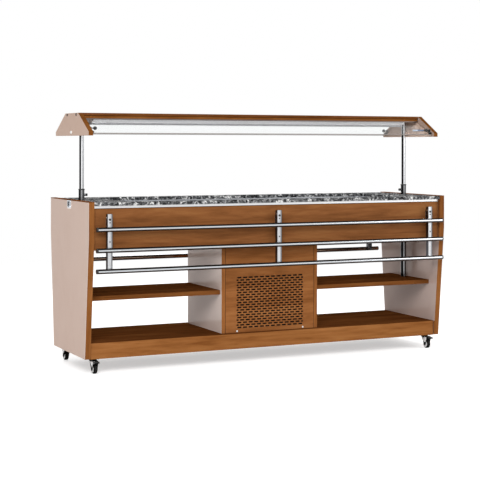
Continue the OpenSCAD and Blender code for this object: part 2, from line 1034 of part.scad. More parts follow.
module glass_rear() {
    color(glass_tint)
        rotate([0, 0, 180])
            glass_pane();
}

// Channel under an edge rail that holds a pane's top edge
module glass_channels() {
    color(wood_dark)
        both_sides()
            difference() {
                slab([-canopy_in_x, -channel_y - channel_w / 2, canopy_rail_z - channel_h],
                    [canopy_in_x, -channel_y + channel_w / 2, canopy_rail_z]);
                pane(glass_slot_gap, canopy_l);
            }
}

// Moves a piece drawn on a pane's lower edge, y running up the slope and z out of the pane
module on_pane() {
    translate([0, -glass_low_y, glass_low_z])
        rotate([glass_angle, 0, 0])
            children();
}

// Clip at a pane's lower corner: plate and ear on the end panel, and two ledges
module glass_clip() {
    plate_x = -canopy_in_x + clip_t;
    difference() {
        union() {
            on_pane()
                slab([-canopy_in_x, clip_low, -clip_under],
                    [plate_x, clip_low + clip_l, clip_over]);
            on_pane()
                slab([-canopy_in_x, clip_low, -glass_t / 2 - clip_ledge_t],
                    [plate_x + clip_ledge_l, clip_low + clip_ledge_w, glass_t / 2 + clip_ledge_t]);
            translate([0, -ball_y, ball_z])
                rod_x_between(-canopy_in_x, plate_x, clip_ear_d);
        }
        pane(0, 2 * (canopy_in_x - clip_t));
        translate([0, -ball_y, ball_z])
            rod_x_between(-canopy_in_x - overrun, plate_x + overrun, ball_stem_d + 2 * turn_gap);
    }
}

// Arm of a front clip, running in to the bar
module clip_arm() {
    slab([-canopy_in_x, -clip_arm_y, bar_z - clip_arm_h / 2],
        [-canopy_in_x + clip_t, -bar_out_y, bar_z + clip_arm_h / 2]);
}

module glass_clips() {
    color(black)
        both_ends() {
            both_sides_mirrored()
                glass_clip();
            clip_arm();
        }
}

// Bright bars on the end panels, running in from the front clips
module holder_bars() {
    color(steel)
        both_ends()
            slab([-canopy_in_x, -bar_out_y, bar_z - bar_h / 2],
                [-canopy_in_x + clip_t, -bar_out_y + bar_l, bar_z + bar_h / 2]);
}

// Ball knob that clamps a clip, its screw running into the end panel
module glass_knob() {
    color(black)
        translate([0, -ball_y, ball_z]) {
            rod_x_between(-canopy_in_x - ball_thread + overrun, -canopy_in_x + ball_reach, ball_stem_d);
            translate([-canopy_in_x + ball_reach, 0, 0])
                sphere(d = ball_d);
        }
}

module glass_knob_fl() {
    glass_knob();
}

module glass_knob_fr() {
    mirror([1, 0, 0])
        glass_knob();
}

module glass_knob_rl() {
    mirror([0, 1, 0])
        glass_knob();
}

module glass_knob_rr() {
    rotate([0, 0, 180])
        glass_knob();
}

// Places where a tray slide has an arm
arm_places = [-arm_span, 0, arm_span];

// Channel arm of a tray slide, hanging from its pin at the origin
module slide_arm() {
    foot = pivot_z - rail_top_z + 2 * rail_pitch + arm_foot;
    difference() {
        intersection() {
            along_x(arm_w) {
                intersection() {
                    circle(arm_top_r);
                    translate([-pivot_inset, 0])
                        square([arm_depth, arm_top_r]);
                }
                translate([-pivot_inset, -foot])
                    square([arm_depth, foot]);
            }
            along_y(2 * arm_top_r) {
                translate([-arm_w / 2, -foot])
                    square([arm_w, foot + arm_top_r / 2]);
                translate([0, arm_top_r / 2])
                    round_rect(arm_w, arm_top_r, arm_round);
            }
        }
        slab([-arm_w / 2 + arm_side_t, -pivot_inset + web_t, -foot - overrun],
            [arm_w / 2 - arm_side_t, arm_depth, arm_top_r + overrun]);
        rod_x_between(-arm_w, arm_w, pin_d + 2 * turn_gap);
        for (k = [0 : 2])
            translate([0, -rail_y + pivot_y, rail_top_z - pivot_z - k * rail_pitch])
                rod_x_between(-arm_w, arm_w, rail_d);
        translate([0, 0, -web_hole_drop])
            rotate([90, 0, 0])
                cylinder(h = arm_depth, d = web_hole_d);
        for (drop = web_pin_drops)
            translate([0, 0, -drop])
                rotate([90, 0, 0])
                    cylinder(h = arm_depth, d = web_pin_hole_d);
    }
}

module slide_arms() {
    color(steel)
        for (x = arm_places)
            translate([x, -pivot_y, pivot_z])
                slide_arm();
}

// Tray rail: a tube with a plug in each end
module tray_rail() {
    tube_half = rail_l / 2 - plug_cap_t;
    difference() {
        rod_x_between(-tube_half, tube_half, rail_d);
        rod_x_between(-tube_half - overrun, tube_half + overrun, rail_d - 2 * rail_wall);
    }
    both_ends() {
        rod_x_between(-rail_l / 2, -tube_half, rail_d);
        rod_x_between(-tube_half, -tube_half + plug_depth, rail_d - 2 * rail_wall);
    }
}

module slide_rails() {
    color(steel)
        for (k = [0 : 2])
            translate([0, -rail_y, rail_top_z - k * rail_pitch])
                tray_rail();
}

module slide_arms_front() {
    slide_arms();
}

module slide_rails_front() {
    slide_rails();
}

module slide_arms_rear() {
    rotate([0, 0, 180])
        slide_arms();
}

module slide_rails_rear() {
    rotate([0, 0, 180])
        slide_rails();
}

// Wall bracket of an arm, with its hinge pin
module slide_bracket() {
    plate_half = arm_w / 2 - arm_side_t - face_gap;
    wall = pivot_y - fascia_y;
    slab([-plate_half, wall - bracket_t, -bracket_below],
        [plate_half, wall, bracket_above]);
    for (side = [-1, 1])
        translate([side * (plate_half - ear_t / 2), 0, 0])
            along_x(ear_t) {
                circle(ear_r);
                translate([0, -ear_r])
                    square([wall, 2 * ear_r]);
            }
    rod_x_between(-arm_w / 2 - face_gap - pin_head_t, arm_w / 2 + face_gap + pin_head_t, pin_d);
    for (side = [-1, 1])
        translate([side * (arm_w / 2 + face_gap + pin_head_t / 2), 0, 0])
            rod_x_between(-pin_head_t / 2, pin_head_t / 2, pin_head_d);
    for (drop = bracket_screw_drops)
        translate([0, wall - bracket_t, -drop])
            rotate([90, 0, 0])
                cylinder(h = bracket_screw_t, d = bracket_screw_d);
}

module slide_brackets() {
    color(steel)
        both_sides()
            for (x = arm_places)
                translate([x, -pivot_y, pivot_z])
                    slide_bracket();
}

// Top plate of a caster with its bolts, race and kingpin
module caster_plate() {
    translate([0, 0, plinth_foot_z - caster_plate_t])
        slab([-caster_plate_l / 2, -caster_plate_w / 2, 0],
            [caster_plate_l / 2, caster_plate_w / 2, caster_plate_t]);
    for (sx = [-1, 1], sy = [-1, 1])
        translate([sx * caster_bolt_x, sy * caster_bolt_y, plinth_foot_z - caster_plate_t - caster_bolt_t])
            cylinder(h = caster_bolt_t, d = caster_bolt_d);
    translate([0, 0, race_z])
        cylinder(h = race_h, d = race_d);
    translate([0, 0, crown_z - face_gap])
        cylinder(h = race_h, d = kingpin_d);
    translate([0, 0, crown_z - face_gap - kingpin_head_t])
        cylinder(h = kingpin_head_t, d = kingpin_head_d);
}

module caster_plates() {
    color(black)
        both_ends()
            both_sides_mirrored()
                translate([-caster_x, -caster_y, 0])
                    caster_plate();
}

// Swivelling fork, its wheel trailing out towards -Y
module fork() {
    color(black)
        difference() {
            union() {
                translate([0, 0, crown_z])
                    cylinder(h = crown_t, d = crown_d);
                slab([-fork_out_x, -brake_u, crown_z],
                    [fork_out_x, 0, crown_z + crown_t]);
                for (side = [-1, 1])
                    translate([side * (fork_in_x + leg_t / 2), 0, 0])
                        along_x(leg_t)
                            leg_outline();
                translate([0, -caster_trail, wheel_d / 2])
                    rod_x_between(-fork_out_x - axle_head_t, fork_out_x + axle_head_t, axle_d);
                both_ends()
                    translate([0, -caster_trail, wheel_d / 2])
                        rod_x_between(-fork_out_x - axle_head_t, -fork_out_x, axle_head_d);
                translate([0, -brake_u, brake_z])
                    rod_x_between(-fork_out_x, fork_out_x, brake_pin_d);
            }
            translate([0, 0, crown_z - overrun])
                cylinder(h = crown_t + 2 * overrun, d = kingpin_d + 2 * turn_gap);
        }
}

// Leg of the fork, drawn in Y and Z
module leg_outline() {
    polygon([
        [crown_d / 4, crown_z + crown_t],
        [crown_d / 4, crown_z - crown_t],
        [-caster_trail + axle_boss_r, wheel_d / 2],
        [-caster_trail - axle_boss_r, wheel_d / 2],
        [-brake_u - brake_pin_d, brake_z - brake_pin_d],
        [-brake_u - brake_pin_d, crown_z + crown_t]
    ]);
    translate([-caster_trail, wheel_d / 2])
        circle(axle_boss_r);
}

// Caster wheel with its tyre, sunk hub faces and bore
module wheel() {
    color(black)
        translate([0, -caster_trail, wheel_d / 2])
            rotate([0, 90, 0])
                rotate_extrude()
                    wheel_outline();
}

// Half section of the wheel: x is the radius, y runs along the axle
module wheel_outline() {
    bore_r = axle_d / 2 + turn_gap;
    round_x = wheel_d / 2 - tread_round;
    round_y = wheel_w / 2 - tread_round;
    translate([bore_r, -wheel_w / 2])
        square([hub_core_r - bore_r, wheel_w]);
    translate([bore_r, -wheel_w / 2 + hub_sink])
        square([hub_r - bore_r, wheel_w - 2 * hub_sink]);
    translate([hub_r, -wheel_w / 2])
        square([round_x - hub_r, wheel_w]);
    translate([hub_r, -round_y])
        square([wheel_d / 2 - hub_r, 2 * round_y]);
    for (side = [-1, 1])
        translate([round_x, side * round_y])
            circle(tread_round);
}

// Brake pedal on its pin, out past the wheel
module brake() {
    half = fork_in_x - face_gap;
    pad_u = brake_barrel_d / 2 + brake_pad_gap;
    color(black)
        translate([0, -brake_u, brake_z])
            difference() {
                union() {
                    rod_x_between(-half, half, brake_barrel_d);
                    slab([-half, -pad_u - brake_pad_t, -brake_pad_t / 2],
                        [half, 0, brake_pad_t / 2]);
                    slab([-brake_pad_w / 2, -brake_pad_l, -brake_pad_t / 2],
                        [brake_pad_w / 2, -pad_u, brake_pad_t / 2]);
                }
                rod_x_between(-fork_out_x, fork_out_x, brake_pin_d + 2 * turn_gap);
            }
}

// Moves a caster piece, drawn on its swivel axis, to one of the four corners
module at_caster(right, rear) {
    mirror([right, 0, 0])
        mirror([0, rear, 0])
            translate([-caster_x, -caster_y, 0])
                children();
}

module fork_fl() {
    at_caster(0, 0) fork();
}

module fork_fr() {
    at_caster(1, 0) fork();
}

module fork_rl() {
    at_caster(0, 1) fork();
}

module fork_rr() {
    at_caster(1, 1) fork();
}

module wheel_fl() {
    at_caster(0, 0) wheel();
}

module wheel_fr() {
    at_caster(1, 0) wheel();
}

module wheel_rl() {
    at_caster(0, 1) wheel();
}

module wheel_rr() {
    at_caster(1, 1) wheel();
}

module brake_fl() {
    at_caster(0, 0) brake();
}

module brake_fr() {
    at_caster(1, 0) brake();
}

module brake_rl() {
    at_caster(0, 1) brake();
}

module brake_rr() {
    at_caster(1, 1) brake();
}

side_panel_left();
side_panel_right();
deck();
plinths();
shelf_left();
shelf_right();
box_walls();
box_front();
box_rear();
fascias();
counter();
trims();
well_liner();
well_case();
guide_tubes();
collars();
slide_brackets();
cups();
condensing_unit();
power_inlet();
panel_screws();
caster_plates();
posts();
canopy_end_left();
canopy_end_right();
canopy_top();
canopy_rails();
light_housing();
light_lens();
canopy_bolts();
post_caps();
glass_front();
glass_rear();
glass_channels();
glass_clips();
holder_bars();
glass_knob_fl();
glass_knob_fr();
glass_knob_rl();
glass_knob_rr();
post_knob_left();
post_knob_right();
slide_arms_front();
slide_rails_front();
slide_arms_rear();
slide_rails_rear();
fork_fl();
fork_fr();
fork_rl();
fork_rr();
wheel_fl();
wheel_fr();
wheel_rl();
wheel_rr();
brake_fl();
brake_fr();
brake_rl();
brake_rr();
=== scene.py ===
"""A mobile salad bar: timber cabinet, stone counter, glass canopy, tray slides and casters."""
import json
import math

import bmesh
import bpy
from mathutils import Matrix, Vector

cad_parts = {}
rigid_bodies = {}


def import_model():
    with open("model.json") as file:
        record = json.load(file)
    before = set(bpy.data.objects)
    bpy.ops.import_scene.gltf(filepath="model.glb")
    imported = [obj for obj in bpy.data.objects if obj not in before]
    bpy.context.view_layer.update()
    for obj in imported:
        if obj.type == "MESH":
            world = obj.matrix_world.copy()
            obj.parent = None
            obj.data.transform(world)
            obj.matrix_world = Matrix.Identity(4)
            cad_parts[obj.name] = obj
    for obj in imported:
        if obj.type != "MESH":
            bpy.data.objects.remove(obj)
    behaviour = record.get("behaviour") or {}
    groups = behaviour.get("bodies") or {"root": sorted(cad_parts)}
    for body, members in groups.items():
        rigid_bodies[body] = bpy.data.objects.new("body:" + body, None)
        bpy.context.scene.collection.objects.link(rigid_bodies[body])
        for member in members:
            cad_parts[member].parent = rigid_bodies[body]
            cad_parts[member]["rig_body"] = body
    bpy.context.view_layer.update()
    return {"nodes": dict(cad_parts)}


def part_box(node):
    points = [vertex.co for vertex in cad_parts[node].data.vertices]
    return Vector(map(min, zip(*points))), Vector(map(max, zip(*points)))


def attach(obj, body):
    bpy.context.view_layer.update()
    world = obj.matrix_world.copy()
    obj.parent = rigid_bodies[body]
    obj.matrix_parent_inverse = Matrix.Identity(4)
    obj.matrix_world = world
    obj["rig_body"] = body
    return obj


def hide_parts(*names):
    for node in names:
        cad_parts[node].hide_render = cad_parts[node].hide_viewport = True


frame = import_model()
nodes = frame["nodes"]
MM = 0.001
CORNERS = ("fl", "fr", "rl", "rr")

# How much of a face's normal has to lie along an axis
NEARLY_ALL = 0.9
MOSTLY = 0.5
PARTLY = 0.3

# Camera, at the photograph's place
CAMERA_PLACE = (-3.2439, -6.7021, 1.1971)
CAMERA_YAW = math.radians(25.305)
CAMERA_PITCH = math.radians(0.155)
CAMERA_ROLL = math.radians(-0.072)
FRAME_WIDTH_PX = 480
FOCAL_PX = 1305.5
AXIS_ABOVE_CENTRE_PX = 100
SENSOR_WIDTH_MM = 36


def place_camera():
    """Makes the camera that looks at the object as the photograph does."""
    data = bpy.data.cameras.new("camera")
    data.sensor_width = SENSOR_WIDTH_MM
    data.lens = FOCAL_PX / FRAME_WIDTH_PX * SENSOR_WIDTH_MM
    data.shift_y = -AXIS_ABOVE_CENTRE_PX / FRAME_WIDTH_PX
    data.clip_end = 100
    camera = bpy.data.objects.new("camera", data)
    camera.location = CAMERA_PLACE
    camera.rotation_euler = (math.pi / 2 + CAMERA_PITCH, CAMERA_ROLL, -CAMERA_YAW)
    bpy.context.scene.collection.objects.link(camera)
    bpy.context.scene.camera = camera


place_camera()
bpy.context.scene.view_settings.view_transform = "Standard"

# Selection and mesh helpers


def only(piece):
    """Selects one piece alone and makes it the active one."""
    bpy.ops.object.select_all(action="DESELECT")
    piece.select_set(True)
    bpy.context.view_layer.objects.active = piece


def settle(piece, name):
    """Names a new piece and puts its place, turn and size into its mesh."""
    only(piece)
    bpy.ops.object.transform_apply(location=True, rotation=True, scale=True)
    piece.name = name
    piece.data.name = name
    return piece


def pick_faces(piece, wanted):
    """Selects, in edit mode, the faces whose centre and normal pass a test."""
    only(piece)
    bpy.ops.object.mode_set(mode="EDIT")
    bpy.ops.mesh.select_mode(type="FACE")
    bpy.ops.mesh.select_all(action="DESELECT")
    mesh = bmesh.from_edit_mesh(piece.data)
    for face in mesh.faces:
        face.select_set(bool(wanted(face.calc_center_median(), face.normal)))
    bmesh.update_edit_mesh(piece.data)


def pick_border(piece, wanted):
    """Selects the faces that pass a test and aren't selected yet."""
    mesh = bmesh.from_edit_mesh(piece.data)
    for face in mesh.faces:
        fresh = not face.select and bool(wanted(face.calc_center_median(), face.normal))
        face.tag = fresh
    for face in mesh.faces:
        face.select_set(False)
    for face in mesh.faces:
        face.select_set(face.tag)
    bmesh.update_edit_mesh(piece.data)


def leave_edit():
    """Goes back to object mode."""
    bpy.ops.object.mode_set(mode="OBJECT")


def even_normals(piece):
    """Keeps large flat faces flat in their shading, so that only the eased edges look round."""
    only(piece)
    weighted = piece.modifiers.new("even normals", "WEIGHTED_NORMAL")
    weighted.mode = "FACE_AREA"
    weighted.weight = 100
    weighted.keep_sharp = True
    bpy.ops.object.modifier_apply(modifier=weighted.name)


def round_edges(piece, width, segments=2, sharper_than=35):
    """Eases every edge that is sharper than an angle in degrees, and smooths the faces between."""
    only(piece)
    bevel = piece.modifiers.new("eased edges", "BEVEL")
    bevel.width = width
    bevel.segments = segments
    bevel.limit_method = "ANGLE"
    bevel.angle_limit = math.radians(sharper_than)
    bpy.ops.object.modifier_apply(modifier=bevel.name)
    bpy.ops.object.shade_smooth_by_angle(angle=math.radians(sharper_than))
    even_normals(piece)


def copy_of(node):
    """A clean copy of a CAD node's mesh, merged and with its flat faces whole."""
    piece = bpy.data.objects.new(node + "_finished", nodes[node].data.copy())
    bpy.context.scene.collection.objects.link(piece)
    only(piece)
    if piece.data.has_custom_normals:
        bpy.ops.mesh.customdata_custom_splitnormals_clear()
    bpy.ops.object.mode_set(mode="EDIT")
    bpy.ops.mesh.select_all(action="SELECT")
    bpy.ops.mesh.remove_doubles(threshold=0.01 * MM)
    bpy.ops.mesh.dissolve_limited(angle_limit=math.radians(0.5))
    leave_edit()
    piece.data.materials.clear()
    return piece


def cut_across(piece, place, direction):
    """Cuts the faces of a piece along a plane, and keeps both sides."""
    only(piece)
    bpy.ops.object.mode_set(mode="EDIT")
    bpy.ops.mesh.select_all(action="SELECT")
    bpy.ops.mesh.bisect(plane_co=place, plane_no=direction)
    leave_edit()


def cut_ends(piece, reach, middle=0):
    """Cuts a piece across its length on both sides of a middle."""
    for side in (-1, 1):
        cut_across(piece, (middle + side * reach, 0, 0), (1, 0, 0))


def body_of(node):
    """The name of the body that a CAD node rides on."""
    return nodes[node]["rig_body"]


def join_as(name, pieces):
    """Joins pieces into one."""
    bpy.ops.object.select_all(action="DESELECT")
    for piece in pieces:
        piece.select_set(True)
    bpy.context.view_layer.objects.active = pieces[0]
    bpy.ops.object.join()
    return settle(pieces[0], name)


def round_head(place, turn, radius, rise, vertices, rounding):
    """A round head whose edges are eased, turned from upright."""
    bpy.ops.mesh.primitive_cylinder_add(
        vertices=vertices, radius=radius, depth=rise, rotation=turn, location=place)
    head = settle(bpy.context.object, "round_head")
    round_edges(head, rounding, 3)
    return head


def stands_for(piece, *replaced):
    """Rides a finished piece on the body of the nodes that it stands for."""
    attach(piece, body_of(replaced[0]))
    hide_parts(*replaced)
    return piece


def ease_and_stand(piece, node, width, material, segments=2):
    """Eases a piece's edges, gives it a material and stands it in a CAD node's place."""
    round_edges(piece, width, segments)
    piece.data.materials.append(material)
    return stands_for(piece, node)


def eased(node, width, material, segments=2):
    """Stands a copy with eased edges in a CAD node's place, in one material."""
    return ease_and_stand(copy_of(node), node, width, material, segments)


def paint(piece, material, wanted):
    """Gives a material to the faces whose centre and normal pass a test."""
    piece.data.materials.append(material)
    slot = len(piece.data.materials) - 1
    for face in piece.data.polygons:
        if wanted(face.center, face.normal):
            face.material_index = slot


# Shader helpers


def ink(red, green, blue):
    """A linear colour from red, green and blue as a paint chart gives them, by the sRGB curve."""
    linear = []
    for part in (red, green, blue):
        share = part / 255
        linear.append(share / 12.92 if share <= 0.04045 else ((share + 0.055) / 1.055) ** 2.4)
    return (*linear, 1.0)


def add(tree, kind, settings=None, inputs=None):
    """Adds a shader node, with its settings, and its inputs linked or set."""
    item = tree.nodes.new(kind)
    for name, value in (settings or {}).items():
        setattr(item, name, value)
    for name, value in (inputs or {}).items():
        if isinstance(value, bpy.types.NodeSocket):
            tree.links.new(value, item.inputs[name])
        else:
            item.inputs[name].default_value = value
    return item


def maths(tree, operation, first, second=0.0, clamp=False):
    """A math node's output."""
    item = add(tree, "ShaderNodeMath", {"operation": operation, "use_clamp": clamp},
               {0: first, 1: second})
    return item.outputs[0]


def weighted_sum(tree, parts):
    """The sum of values, each times its share."""
    total = None
    for value, share in parts:
        part = maths(tree, "MULTIPLY", value, share)
        total = part if total is None else maths(tree, "ADD", total, part)
    return total


def remap(tree, value, low, high, to_low=0.0, to_high=1.0):
    """A value carried from one range to another, held inside it."""
    item = add(tree, "ShaderNodeMapRange", None,
               {"Value": value, "From Min": low, "From Max": high, "To Min": to_low, "To Max": to_high})
    return item.outputs["Result"]


# Places of the colour sockets in a mix node
MIX_FIRST = 6
MIX_SECOND = 7
MIX_RESULT = 2


def blend_colours(tree, share, first, second):
    """The first colour turned into the second by a share."""
    item = add(tree, "ShaderNodeMix", {"data_type": "RGBA"}, {"Factor": share})
    for place, value in ((MIX_FIRST, first), (MIX_SECOND, second)):
        if isinstance(value, bpy.types.NodeSocket):
            tree.links.new(value, item.inputs[place])
        else:
            item.inputs[place].default_value = value
    return item.outputs[MIX_RESULT]


def noise(tree, place, scale, detail=2.0, rough=0.5, distortion=0.0):
    """A noise texture's value."""
    item = add(tree, "ShaderNodeTexNoise", None,
               {"Vector": place, "Scale": scale, "Detail": detail, "Roughness": rough,
                "Distortion": distortion})
    return item.outputs["Fac"]


def start_group(name, inputs, outputs):
    """A shader node group with named inputs and outputs. Returns its tree and its two end nodes."""
    tree = bpy.data.node_groups.new(name, "ShaderNodeTree")
    kinds = {"vector": "NodeSocketVector", "colour": "NodeSocketColor", "number": "NodeSocketFloat"}
    for label, kind in inputs:
        tree.interface.new_socket(label, in_out="INPUT", socket_type=kinds[kind])
    for label, kind in outputs:
        tree.interface.new_socket(label, in_out="OUTPUT", socket_type=kinds[kind])
    return tree, tree.nodes.new("NodeGroupInput").outputs, tree.nodes.new("NodeGroupOutput").inputs


def use_group(tree, group, inputs):
    """Places a shader node group in a material."""
    return add(tree, "ShaderNodeGroup", {"node_tree": group}, inputs).outputs


def object_place(tree, stretch=(1, 1, 1), turn=(0, 0, 0)):
    """Object coordinates, stretched and turned."""
    coordinates = add(tree, "ShaderNodeTexCoord").outputs["Object"]
    return add(tree, "ShaderNodeMapping", None,
               {"Vector": coordinates, "Rotation": turn, "Scale": stretch}).outputs["Vector"]


def bump(tree, shader, height, strength, distance):
    """Raises and lowers a shader's surface by a height."""
    normal = add(tree, "ShaderNodeBump", None,
                 {"Height": height, "Strength": strength, "Distance": distance}).outputs["Normal"]
    tree.links.new(normal, shader["Normal"])


def start_material(name, **sockets):
    """A material with a Principled shader whose plain sockets are set by their names."""
    material = bpy.data.materials.new(name)
    material.use_nodes = True
    shader = material.node_tree.nodes["Principled BSDF"]
    for label, value in sockets.items():
        shader.inputs[label.replace("_", " ")].default_value = value
    return material, material.node_tree, shader.inputs


# Shared effects


def wood_grain_group():
    """Long streaks, flames and pores of a printed timber face, along the first axis of its place."""
    tree, given, result = start_group(
        "timber grain",
        [("Place", "vector"), ("Dark", "colour"), ("Middle", "colour"), ("Light", "colour"),
         ("Pores", "number")],
        [("Colour", "colour"), ("Roughness", "number"), ("Height", "number")])
    warp = add(tree, "ShaderNodeTexNoise", None,
               {"Vector": given["Place"], "Scale": 0.35, "Detail": 2.0})
    shifted = add(tree, "ShaderNodeVectorMath", {"operation": "MULTIPLY_ADD"},
                  {0: warp.outputs["Color"], 1: (0.0, 1.6, 1.6), 2: given["Place"]}).outputs[0]
    broad = noise(tree, shifted, scale=0.8, detail=3.0, rough=0.55)
    streak = noise(tree, shifted, scale=3.2, detail=4.0, rough=0.65, distortion=0.3)
    fine = add(tree, "ShaderNodeMapping", None,
               {"Vector": shifted, "Scale": (0.6, 6.0, 6.0)}).outputs[0]
    fibre = noise(tree, fine, scale=5.0, detail=3.0, rough=0.7)
    tone = weighted_sum(tree, ((broad, 0.45), (streak, 0.4), (fibre, 0.15)))
    middle = 0.5
    reach = 0.16
    dark_side = remap(tree, tone, middle - reach, middle)
    light_side = remap(tree, tone, middle, middle + reach)
    colour = blend_colours(tree, dark_side, given["Dark"], given["Middle"])
    colour = blend_colours(tree, light_side, colour, given["Light"])
    pore = maths(tree, "MULTIPLY", remap(tree, fibre, 0.6, 0.72), given["Pores"])
    colour = blend_colours(tree, pore, colour, given["Dark"])
    tree.links.new(colour, result["Colour"])
    tree.links.new(remap(tree, fibre, 0.3, 0.7, 0.34, 0.46), result["Roughness"])
    tree.links.new(maths(tree, "SUBTRACT", fibre, pore), result["Height"])
    return tree


def smudge_group():
    """Faint handling marks: a change in tone and in roughness over the surface."""
    tree, given, result = start_group(
        "handling marks",
        [("Place", "vector"), ("Base", "colour"), ("Worn", "colour"), ("Amount", "number"),
         ("Smooth", "number"), ("Rough", "number")],
        [("Colour", "colour"), ("Roughness", "number"), ("Mask", "number")])
    cloud = noise(tree, given["Place"], scale=2.2, detail=4.0, rough=0.6)
    rub = noise(tree, given["Place"], scale=9.0, detail=3.0, rough=0.65, distortion=0.6)
    mask = maths(tree, "MULTIPLY", remap(tree, cloud, 0.4, 0.7), remap(tree, rub, 0.35, 0.75))
    share = maths(tree, "MULTIPLY", mask, given["Amount"])
    tree.links.new(blend_colours(tree, share, given["Base"], given["Worn"]), result["Colour"])
    spread = remap(tree, mask, 0.0, 0.6, given["Smooth"], given["Rough"])
    tree.links.new(spread, result["Roughness"])
    tree.links.new(mask, result["Mask"])
    return tree


def brushed_group():
    """Fine lines of brushed metal along the first axis of its place."""
    tree, given, result = start_group(
        "brushed lines",
        [("Place", "vector"), ("Base", "colour"), ("Line", "colour"), ("Smooth", "number"),
         ("Rough", "number")],
        [("Colour", "colour"), ("Roughness", "number"), ("Height", "number")])
    line = noise(tree, given["Place"], scale=1.0, detail=3.0, rough=0.75)
    broad = noise(tree, given["Place"], scale=0.12, detail=2.0, rough=0.5)
    tree.links.new(blend_colours(tree, remap(tree, line, 0.35, 0.7), given["Base"], given["Line"]),
                   result["Colour"])
    mixed = weighted_sum(tree, ((line, 0.6), (broad, 0.4)))
    spread = remap(tree, mixed, 0.35, 0.65, given["Smooth"], given["Rough"])
    tree.links.new(spread, result["Roughness"])
    tree.links.new(line, result["Height"])
    return tree


def stone_group():
    """Polished stone: swirled black, grey and white grains."""
    tree, given, result = start_group(
        "swirled stone",
        [("Place", "vector"), ("Black", "colour"), ("Dark", "colour"), ("Grey", "colour"),
         ("White", "colour")],
        [("Colour", "colour"), ("Roughness", "number"), ("Height", "number")])
    warp = add(tree, "ShaderNodeTexNoise", None,
               {"Vector": given["Place"], "Scale": 22.0, "Detail": 3.0, "Roughness": 0.6})
    bent = add(tree, "ShaderNodeVectorMath", {"operation": "MULTIPLY_ADD"},
               {0: warp.outputs["Color"], 1: (0.05, 0.05, 0.05), 2: given["Place"]}).outputs[0]
    swirl = noise(tree, bent, scale=34.0, detail=4.0, rough=0.62, distortion=1.4)
    fleck = noise(tree, bent, scale=130.0, detail=2.0, rough=0.6, distortion=0.4)
    tone = weighted_sum(tree, ((swirl, 0.78), (fleck, 0.22)))
    colour = given["Black"]
    for low, high, grain in ((0.43, 0.48, "Dark"), (0.49, 0.54, "Grey"), (0.55, 0.6, "White")):
        colour = blend_colours(tree, remap(tree, tone, low, high), colour, given[grain])
    tree.links.new(colour, result["Colour"])
    tree.links.new(remap(tree, fleck, 0.3, 0.7, 0.08, 0.2), result["Roughness"])
    tree.links.new(tone, result["Height"])
    return tree


def painted_reflection_bands_group():
    """Painted reflections: dark, bright and soft bands across a polished tube, from -1 to 1, with
    bright painted highlight rims.
    """
    tree, given, result = start_group(
        "painted reflection bands",
        [("Across", "number"), ("Dark", "colour"), ("Bright", "colour"), ("Soft", "colour"),
         ("Bright from", "number"), ("Bright to", "number")],
        [("Colour", "colour")])
    fade = 0.16
    rim_from = 0.94
    rim_to = 0.965
    at_rim = remap(tree, maths(tree, "ABSOLUTE", given["Across"]), rim_from, rim_to)
    colour = given["Dark"]
    for start, next_colour in (("Bright from", "Bright"), ("Bright to", "Soft")):
        past = maths(tree, "DIVIDE", maths(tree, "SUBTRACT", given["Across"], given[start]), fade)
        share = maths(tree, "ADD", past, 0.5, clamp=True)
        colour = blend_colours(tree, share, colour, given[next_colour])
    tree.links.new(blend_colours(tree, at_rim, colour, given["Bright"]), result["Colour"])
    return tree


TIMBER = wood_grain_group()
MARKS = smudge_group()
BRUSHED = brushed_group()
STONE = stone_group()
REFLECTION_BANDS = painted_reflection_bands_group()

# Materials


def lead_in(tree, effect, shader, strength, distance):
    """Leads an effect's colour, roughness and height to a shader."""
    tree.links.new(effect["Colour"], shader["Base Color"])
    tree.links.new(effect["Roughness"], shader["Roughness"])
    bump(tree, shader, effect["Height"], strength, distance)


def handling_marks(tree, stretch, base, worn, amount, smooth, rough):
    """Handling marks over a surface, at a stretch of its place."""
    return use_group(tree, MARKS, {"Place": object_place(tree, stretch), "Base": base, "Worn": worn,
                                   "Amount": amount, "Smooth": smooth, "Rough": rough})


def timber(name, dark, middle, light, along="x", pores=0.35, sheen=0.0):
    """Satin timber face with its grain along one axis."""
    turns = {"x": (0, 0, 0), "y": (0, 0, math.pi / 2), "z": (0, math.pi / 2, 0)}
    material, tree, shader = start_material(name, Specular_IOR_Level=sheen)
    coordinates = add(tree, "ShaderNodeTexCoord").outputs["Object"]
    turned = add(tree, "ShaderNodeMapping", None, {"Vector": coordinates, "Rotation": turns[along]})
    stretched = add(tree, "ShaderNodeMapping", None,
                    {"Vector": turned.outputs[0], "Scale": (1.6, 16, 16)})
    grain = use_group(tree, TIMBER, {"Place": stretched.outputs[0], "Dark": dark, "Middle": middle,
                                     "Light": light, "Pores": pores})
    lead_in(tree, grain, shader, strength=0.25, distance=0.2 * MM)
    return material


def laminate_face(name, base, worn, gloss, smooth=0.4, rough=0.5):
    """Smooth laminate with a faint upright fibre and handling marks."""
    material, tree, shader = start_material(name, Specular_IOR_Level=gloss)
    marks = handling_marks(tree, (1.5, 1.5, 0.8), base, worn, amount=0.3, smooth=smooth, rough=rough)
    fibre = noise(tree, object_place(tree, (240, 240, 9)), scale=1.0, detail=2.0, rough=0.6)
    colour = blend_colours(tree, remap(tree, fibre, 0.35, 0.75, 0.0, 0.22), marks["Colour"], worn)
    tree.links.new(colour, shader["Base Color"])
    tree.links.new(marks["Roughness"], shader["Roughness"])
    bump(tree, shader, fibre, strength=0.08, distance=0.1 * MM)
    return material


def lines_along(axis, fineness):
    """The stretch that makes fine lines run along an axis, 60 times as long as they are wide."""
    stretch = {name: fineness for name in "xyz"}
    stretch[axis] = fineness / 60
    return tuple(stretch.values())


